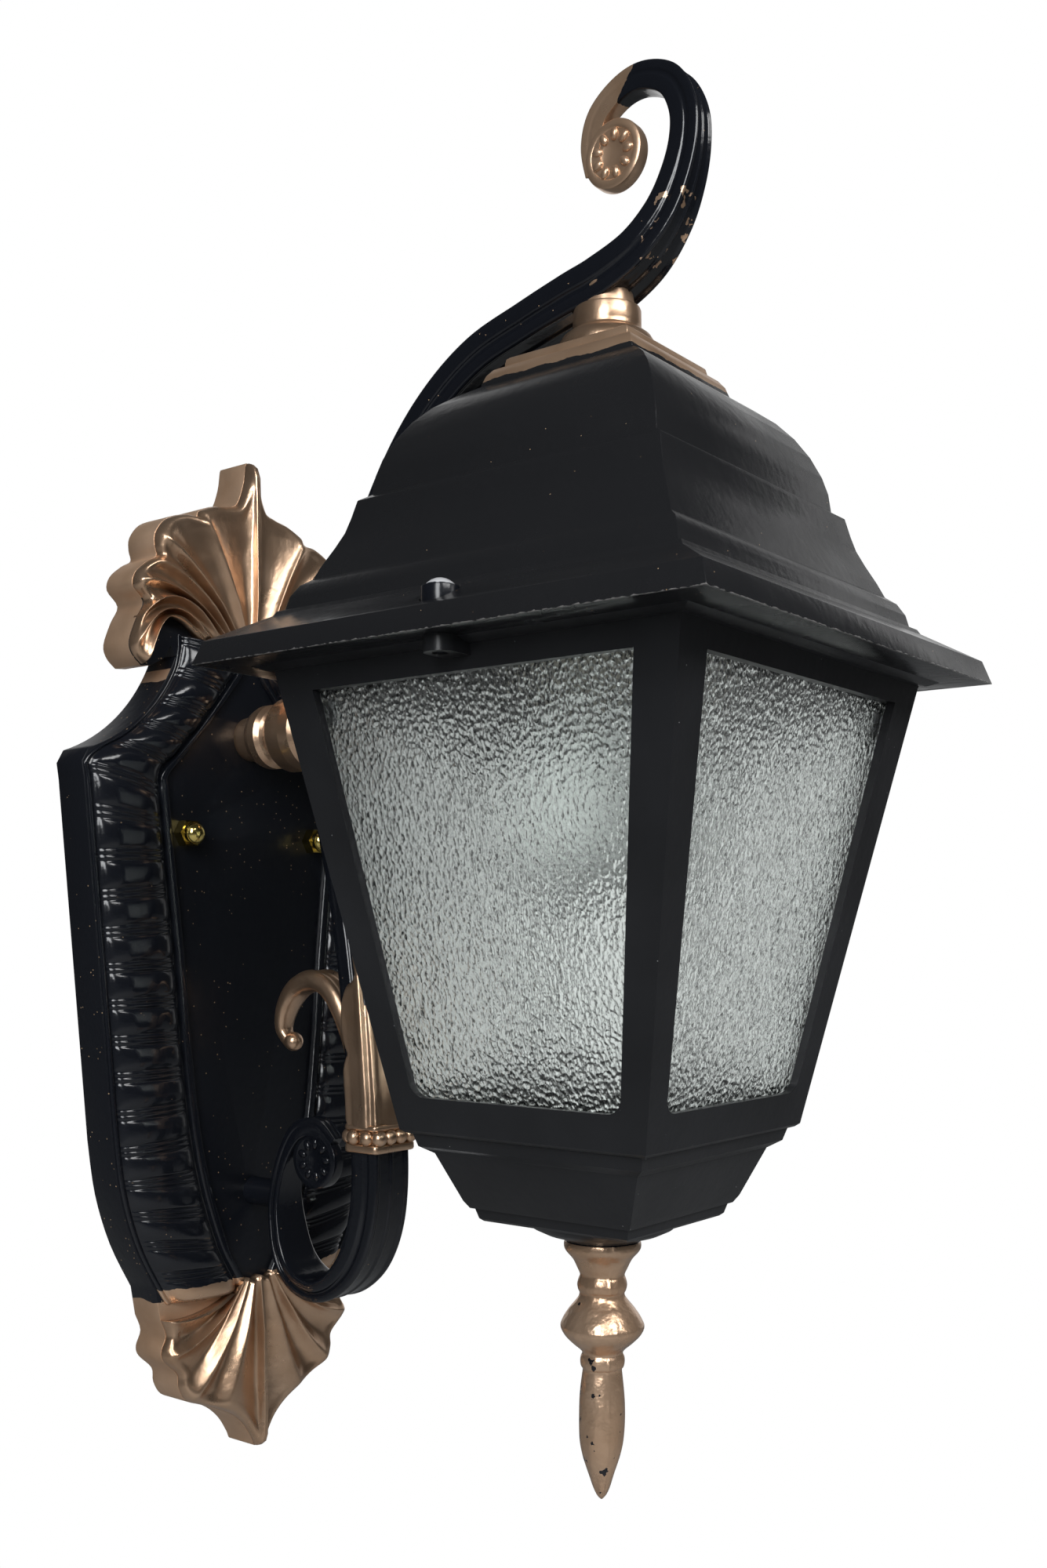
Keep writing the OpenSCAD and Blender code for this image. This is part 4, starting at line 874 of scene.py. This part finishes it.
def leaf(m):
    """Leaf round the front and sides of the stem, with overlapping lobes and long grooves."""
    foot, top, rows, cols = COLLAR_Z + BEAD_R + 1, -37.0, 90, 84
    t = np.linspace(0, 1, rows + 1)[:, None]
    a = np.linspace(1, -1, cols + 1)[None, :]
    lobe = np.abs(np.sin(math.pi * (t * 2.5 + 0.1)))
    reach = np.radians(140) * (1 - 0.5 * t * t) * (0.8 + 0.2 * lobe)
    angle = a * reach
    groove = 0.5 + 0.5 * np.cos(angle * 9 + 2.2 * t * np.sign(a))
    edge = np.clip((1 - np.abs(a)) / 0.06, 0, 1) ** 0.5
    out = lerp(2.4, 0.4, t * t) * (0.62 + 0.38 * groove) * (0.35 + 0.65 * edge) - 0.6 * (1 - edge)
    z = lerp(foot, top, t) + 0 * angle
    middle = np.vectorize(stem_middle)(z)
    inner = round_stem(angle, -3, middle, z)
    rings = np.concatenate([round_stem(angle, out, middle, z), inner[:, ::-7][:, 1:-1]], axis=1)
    obj = loft("leaf", rings, m["copper"])
    shade_by_angle(obj, 60.0)
    return obj


def block_ring(z0, z1, out, soft):
    """Rounded block ring round the stem, as rings of points for a loft."""
    rings = []
    w, d, r = ARM_W / 2 + out, ARM_T / 2 + out, 2.2
    edge, slope = soft * 0.35, soft * 0.3
    for z, inset in ((z0, soft), (z0 + edge, slope), (z0 + soft, 0), (z1 - soft, 0), (z1 - edge, slope),
                     (z1, soft)):
        ring = []
        for cx, cy, start in ((1, -1, -90), (1, 1, 0), (-1, 1, 90), (-1, -1, 180)):
            for x, y in arc(cx * (w - r), cy * (d - r), r - inset, start, start + 90, 6):
                ring.append((x, y - STEM_Y, z))
        rings.append(ring)
    return rings


def collar(m):
    """Collar at the leaf's foot: three block rings, with beads all round the middle one."""
    r = BEAD_R
    parts = [loft("collar", block_ring(COLLAR_Z - r - 3, COLLAR_Z - r + 0.6, 1.8, 0.9), m["copper"]),
             loft("collar_mid", block_ring(COLLAR_Z - r, COLLAR_Z + r, 0.8, 0.3), m["copper"]),
             loft("collar_top", block_ring(COLLAR_Z + r - 0.6, COLLAR_Z + r + 2, 1.8, 0.9), m["copper"])]
    for part in parts:
        shade_by_angle(part, 50.0)
    for side in (-1, 1):
        front = -STEM_Y + side * (ARM_T / 2 + 0.8)
        beads = [(i * ARM_W / 3.4, front) for i in (-1.5, -0.5, 0.5, 1.5)]
        beads += [(side * (ARM_W / 2 + 0.8), -STEM_Y + i * ARM_T / 2) for i in (-0.5, 0.5)]
        parts += [blob("bead", (x, y, COLLAR_Z), (r, r, r), m["copper"]) for x, y in beads]
    return joined("collar", parts)


def make_arm(m):
    """Scroll arm: moulded sweep, volutes, leaf with its curl, collar, neck and seats."""
    stay_r = min(ARM_W / 2, 15.0) - 0.5
    seat_y = float(np.interp(STAY_Z, *stem_line(lambda p: p[0] + p[2]))) + 1
    curl_end = CURL_POINTS[7]
    neck = [(5.1, 9.0), (5.1, 0.0), (NECK_R - 0.4, 0.0), (NECK_R, 0.5), (NECK_R - 1.4, 9.0)]
    seat = [(5.1, -6.0), (5.1, 0.0), (stay_r - 0.5, 0.0), (stay_r, -0.5), (stay_r, -6.0)]
    boss = [(2.6, -3.0), (2.6, 0.0), (5.6, 0.0), (6.0, -0.4), (6.0, -3.0)]
    pieces = [band("arm_sweep", ARM_POINTS, ARM_SIDE, m["arm"]),
              band("leaf_curl", CURL_POINTS, CURL_SIDE, m["copper"]),
              blob("curl_ball", (0, curl_end[0] - 1.5, curl_end[1] + 1), (4, 4, 4), m["copper"]),
              volute_disc("top_volute", TOP_DISC, m["arm"]),
              volute_disc("low_volute", LOW_DISC, m["arm"]),
              leaf(m),
              collar(m),
              lathe("arm_neck", neck, (0, -REACH, NECK_Z), "z", m["crown"]),
              lathe("stay_seat", seat, (0, seat_y, STAY_Z), "y", m["arm"]),
              lathe("spacer_seat", boss, (0, SPACER_SEAT_Y, SPACER_Z), "y", m["arm"])]
    for piece in pieces:
        place(piece, "arm_enamel", "scroll_arm")


# Half outline of the finial, as [share of its radius, share of its length]
FINIAL = [(0.86, 0.0), (0.91, 0.008), (0.92, 0.03), (0.87, 0.047), (0.72, 0.075), (0.61, 0.11),
          (0.545, 0.135), (0.575, 0.15), (0.605, 0.172), (0.585, 0.192), (0.55, 0.205), (0.57, 0.22),
          (0.64, 0.237), (0.77, 0.263), (0.9, 0.294), (0.985, 0.322), (1.0, 0.332), (0.985, 0.346),
          (0.9, 0.368), (0.73, 0.395), (0.56, 0.418), (0.50, 0.433), (0.535, 0.448), (0.545, 0.466),
          (0.525, 0.484), (0.485, 0.495), (0.5, 0.52), (0.535, 0.57), (0.56, 0.63), (0.562, 0.70),
          (0.535, 0.77), (0.475, 0.822), (0.40, 0.865), (0.30, 0.915), (0.22, 0.955), (0.14, 0.982),
          (0.05, 0.998), (0.0, 1.0)]
# Paint on the finial: thickness, then the angle, width and height of a run in it
PAINT_T, RUN_ANGLE, RUN_W, RUN_H = 0.45, 4.05, 0.05, 0.35
# Half outline of the ring round the roof's neck: [radius, height above the crown]
NECK_RING = [(9.0, -1.2), (15.6, -1.2), (16.6, 0.2), (17.0, 2.2), (16.6, 4.4), (15.4, 6.4), (13.6, 7.8),
             (12.0, 8.5), (11.5, 9.3), (11.8, 10.6), (11.7, 15.6), (11.4, 16.3), (9.0, 16.4)]
CROWN_TOP_Z = 157.2


def make_finial(m):
    """Turned finial with a run and waves in its paint, and the ring round the roof's neck."""
    low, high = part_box("finial")
    radius, length = (high[0] - low[0]) / 2 / MM, (high[2] - low[2]) / MM
    turns = np.linspace(0, 2 * math.pi, 96, endpoint=False)
    rings = []
    for r, h in smooth_line(FINIAL, 4):
        wave = 0.12 * np.sin(3 * turns + 9 * h) + 0.08 * np.sin(7 * turns + 21 * h)
        run = RUN_H * np.exp(-((turns - RUN_ANGLE) / RUN_W) ** 2) * (0.5 + 0.5 * math.cos(40 * h))
        out = np.clip(r * radius + (wave + run) * min(1.0, 4 * r) - PAINT_T, 0.02, radius)
        z = high[2] / MM - h * length
        rings.append([(q * math.cos(a), q * math.sin(a) - REACH, z) for a, q in zip(turns, out)])
    obj = loft("finial_skin", rings, m["finial"])
    shade_by_angle(obj, 50.0)
    place(obj, "copper_paint", "finial")
    ring = lathe("neck_ring", NECK_RING, (0, -REACH, CROWN_TOP_Z), "z", m["copper"], 96, 60.0)
    place(ring, "copper_paint", "roof")


# Where the paint changes, in metres
CROWN_PAINT_Z, DROP_PAINT_Z, BORDER_PAINT_Z = 0.1475, -0.187, -0.184
CREST_PAINT_Z, CREST_FACE_Z, CURL_PAINT_Z, CURL_PAINT_X = 0.078, 0.092, 0.062, 0.0415
# The volute's slanted paint line, and the disc beyond it
LINE_Z, LINE_SLOPE, LINE_Y, VOLUTE_Z = 0.249, 0.6, -0.2045, NECK_Z * MM + 0.044
DISC_MIDDLE, DISC_PAINT_R = (0.0, -0.2005, 0.224), 0.0138
# Smears of copper on the arm above the neck, then the finial's chips and its black top face
SMEAR_Z, SMEAR_Y = (0.1785, 0.2035), (-0.24, -0.2155)
CHIP_LENGTH, CHIP_TIP, CHIP_MIDDLE, TOP_FACE_T = 0.06, 0.56, 0.72, 0.0006
# Worn line on the brim: height from its underside, and depth from its rim
BRIM_WEAR_H, BRIM_WEAR_T = 0.00105, 0.0008
# Worn top of a screw's head: height and raggedness
HEAD_WEAR_H, HEAD_WEAR_RAGGED = 0.0022, 0.0012


def height_mask(tree, z, depth, scale=60.0):
    """1 above a height in metres, 0 below it, with a ragged edge of that depth."""
    return above(tree, ragged(tree, position(tree)["Z"], scale, 4.0, depth), z + depth / 2)


def crown_mask(tree):
    """Copper on the roof's stepped crown."""
    return height_mask(tree, CROWN_PAINT_Z, 0.004, 90.0)


def finial_mask(tree):
    """Copper with black chips, most of them towards the tip, and a black top face."""
    z = position(tree)["Z"]
    low, high = (float(corner[2]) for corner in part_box("finial"))
    limit = map_range(tree, z, low, low + CHIP_LENGTH, CHIP_TIP, CHIP_MIDDLE)
    return both(tree, below(tree, noise(tree, 170.0, 4.0), limit), below(tree, z, high - TOP_FACE_T))


def brim_wear(tree):
    """Thin chipped line along the lower edge of the brim."""
    low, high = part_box("roof")
    at = position(tree)
    z = ragged(tree, at["Z"], 420.0, 3.0, 0.0018)
    from_middle = math_node(tree, "SUBTRACT", at["Y"], float(low[1] + high[1]) / 2)
    from_y = math_node(tree, "ABSOLUTE", from_middle)
    from_x = math_node(tree, "ABSOLUTE", at["X"])
    rim = above(tree, either(tree, from_x, from_y), float(high[0]) - BRIM_WEAR_T)
    return both(tree, below(tree, z, float(low[2]) + BRIM_WEAR_H), rim)


def screw_wear(tree):
    """Bare metal on the top of a roof screw's head."""
    top = float(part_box("roof_screw_left")[1][2])
    return height_mask(tree, top - HEAD_WEAR_H, HEAD_WEAR_RAGGED, 300.0)


def unpainted(tree):
    """No copper anywhere: above the highest point of the object."""
    return height_mask(tree, float(cad_box[1][2]) + 1.0, 0.0)


def arm_mask(tree):
    """Copper on the top volute beyond its paint line, and smears of it above the neck."""
    at = position(tree)
    y = ragged(tree, at["Y"], 150.0, 5.0, 0.008)
    down = math_node(tree, "SUBTRACT", at["Z"], LINE_Z)
    slanted = math_node(tree, "ADD", y, both(tree, down, LINE_SLOPE))
    volute = both(tree, above(tree, slanted, LINE_Y), above(tree, at["Z"], VOLUTE_Z))
    side_view = node(tree, "ShaderNodeCombineXYZ")
    link(tree, at["Y"], side_view.inputs["Y"])
    link(tree, at["Z"], side_view.inputs["Z"])
    away = node(tree, "ShaderNodeVectorMath", operation="DISTANCE")
    link(tree, side_view.outputs[0], away.inputs[0])
    away.inputs[1].default_value = DISC_MIDDLE
    volute = either(tree, volute, below(tree, away.outputs["Value"], DISC_PAINT_R))
    smear = above(tree, noise(tree, 210.0, 8.0), 0.585)
    for axis, (low, top) in (("Z", SMEAR_Z), ("Y", SMEAR_Y)):
        within = both(tree, above(tree, at[axis], low), below(tree, at[axis], top))
        smear = both(tree, smear, within)
    return either(tree, volute, smear)


def plate_mask(tree):
    """Copper on the crest with its curls and on the drop, each up to a brushed line."""
    at = position(tree)
    z = ragged(tree, at["Z"], 120.0, 3.0, 0.003)
    outside = above(tree, math_node(tree, "ABSOLUTE", at["X"]), CURL_PAINT_X)
    curl = both(tree, outside, above(tree, z, CURL_PAINT_Z))
    crest = either(tree, curl, above(tree, z, CREST_PAINT_Z))
    behind = above(tree, at["Y"], (FIELD_Y + 0.2) * MM)
    crest = both(tree, crest, either(tree, behind, above(tree, z, CREST_FACE_Z)))
    return either(tree, crest, below(tree, z, DROP_PAINT_Z))


def border_mask(tree):
    """Copper on the lowest end of the border."""
    at = position(tree)
    slant = both(tree, math_node(tree, "ABSOLUTE", at["X"]), 0.05)
    z = math_node(tree, "SUBTRACT", ragged(tree, at["Z"], 160.0, 4.0, 0.004), slant)
    return below(tree, z, BORDER_PAINT_Z)


def make_materials():
    """Every finish by name."""
    glossy, soft = (0.12, 0.2), (0.2, 0.3)
    m = {}
    m["plate"] = enamel("plate_black", GLOSS_BLACK, glossy, 0.5, COPPER_DOT, 0.00012)
    m["field"] = two_paints("plate_paint", plate_mask, GLOSS_BLACK, (0.3, 0.38), 0.3, COPPER_DOTS,
                            copper_rough=(0.48, 0.6))
    m["border"] = two_paints("border_paint", border_mask, GLOSS_BLACK, (0.13, 0.2), 0.5)
    m["arm"] = two_paints("arm_paint", arm_mask, GLOSS_BLACK, glossy, 0.5)
    m["satin"] = enamel("satin_black", SATIN_BLACK, (0.30, 0.42), 0.3, GREY_DOT, 0.00008)
    m["crown"] = two_paints("roof_paint", crown_mask, SATIN_BLACK, soft, 0.36, wear_of=brim_wear)
    m["screw"] = two_paints("screw_black", unpainted, GLOSS_BLACK, (0.15, 0.25), 0.5, peel=0.00008,
                            wear_of=screw_wear, wear_colour=BARE_METAL)
    m["copper"] = copper_paint("copper")
    m["finial"] = two_paints("finial_paint", finial_mask, GLOSS_BLACK, soft, 0.5, peel=0.0005)
    m["brass"] = metal("brass", (0.86, 0.68, 0.22), 0.16)
    m["steel"] = metal("steel", (0.62, 0.62, 0.64), 0.3)
    m["glass"] = pebbled_glass("obscure_glass")
    m["lamp"] = pebbled_glass("lamp_glass")
    m["ivory"] = enamel("ivory", (0.5, 0.47, 0.4), (0.3, 0.4), 0.5, IVORY_DOT, 0.00005)
    return m


# Finish of each CAD node that isn't satin black
NODE_PAINT = {
    "wall_strap": "steel", "strap_stud_left": "steel", "strap_stud_right": "steel", "cap_nut_left": "brass",
    "cap_nut_right": "brass", "terminal_block": "ivory", "upper_stay": "copper", "upper_tube": "steel",
    "upper_tube_nut": "steel", "lower_spacer": "plate", "lower_screw": "steel", "hanger_tube": "steel",
    "hanger_washer": "steel", "hanger_nut": "steel", "lampholder_cap": "ivory", "lampholder_body": "ivory",
    "screw_shell": "brass", "centre_contact": "brass", "lamp_bulb": "lamp", "glass_front": "glass",
    "glass_back": "glass", "glass_left": "glass", "glass_right": "glass", "pane_clips": "steel",
    "finial": "finial", "finial_stud": "steel", "finial_nut": "steel"}


def main():
    """Studio first, then the lantern in the order of its parts."""
    bpy.context.scene.view_settings.view_transform = "Standard"
    make_camera()
    make_world()
    make_floor()
    make_lights()
    m = make_materials()
    for name, obj in nodes.items():
        obj.data.materials.clear()
        obj.data.materials.append(m[NODE_PAINT.get(name, "satin")])
    make_plate(m)
    make_arm(m)
    make_finial(m)
    dressed("roof", m["crown"], 0.7, "roof_enamel")
    dressed("cage", m["satin"], 0.7, "cage_enamel")
    dressed("roof_screw_left", m["screw"], 0.4, "screw_black")
    dressed("roof_screw_right", m["screw"], 0.4, "screw_black")


main()
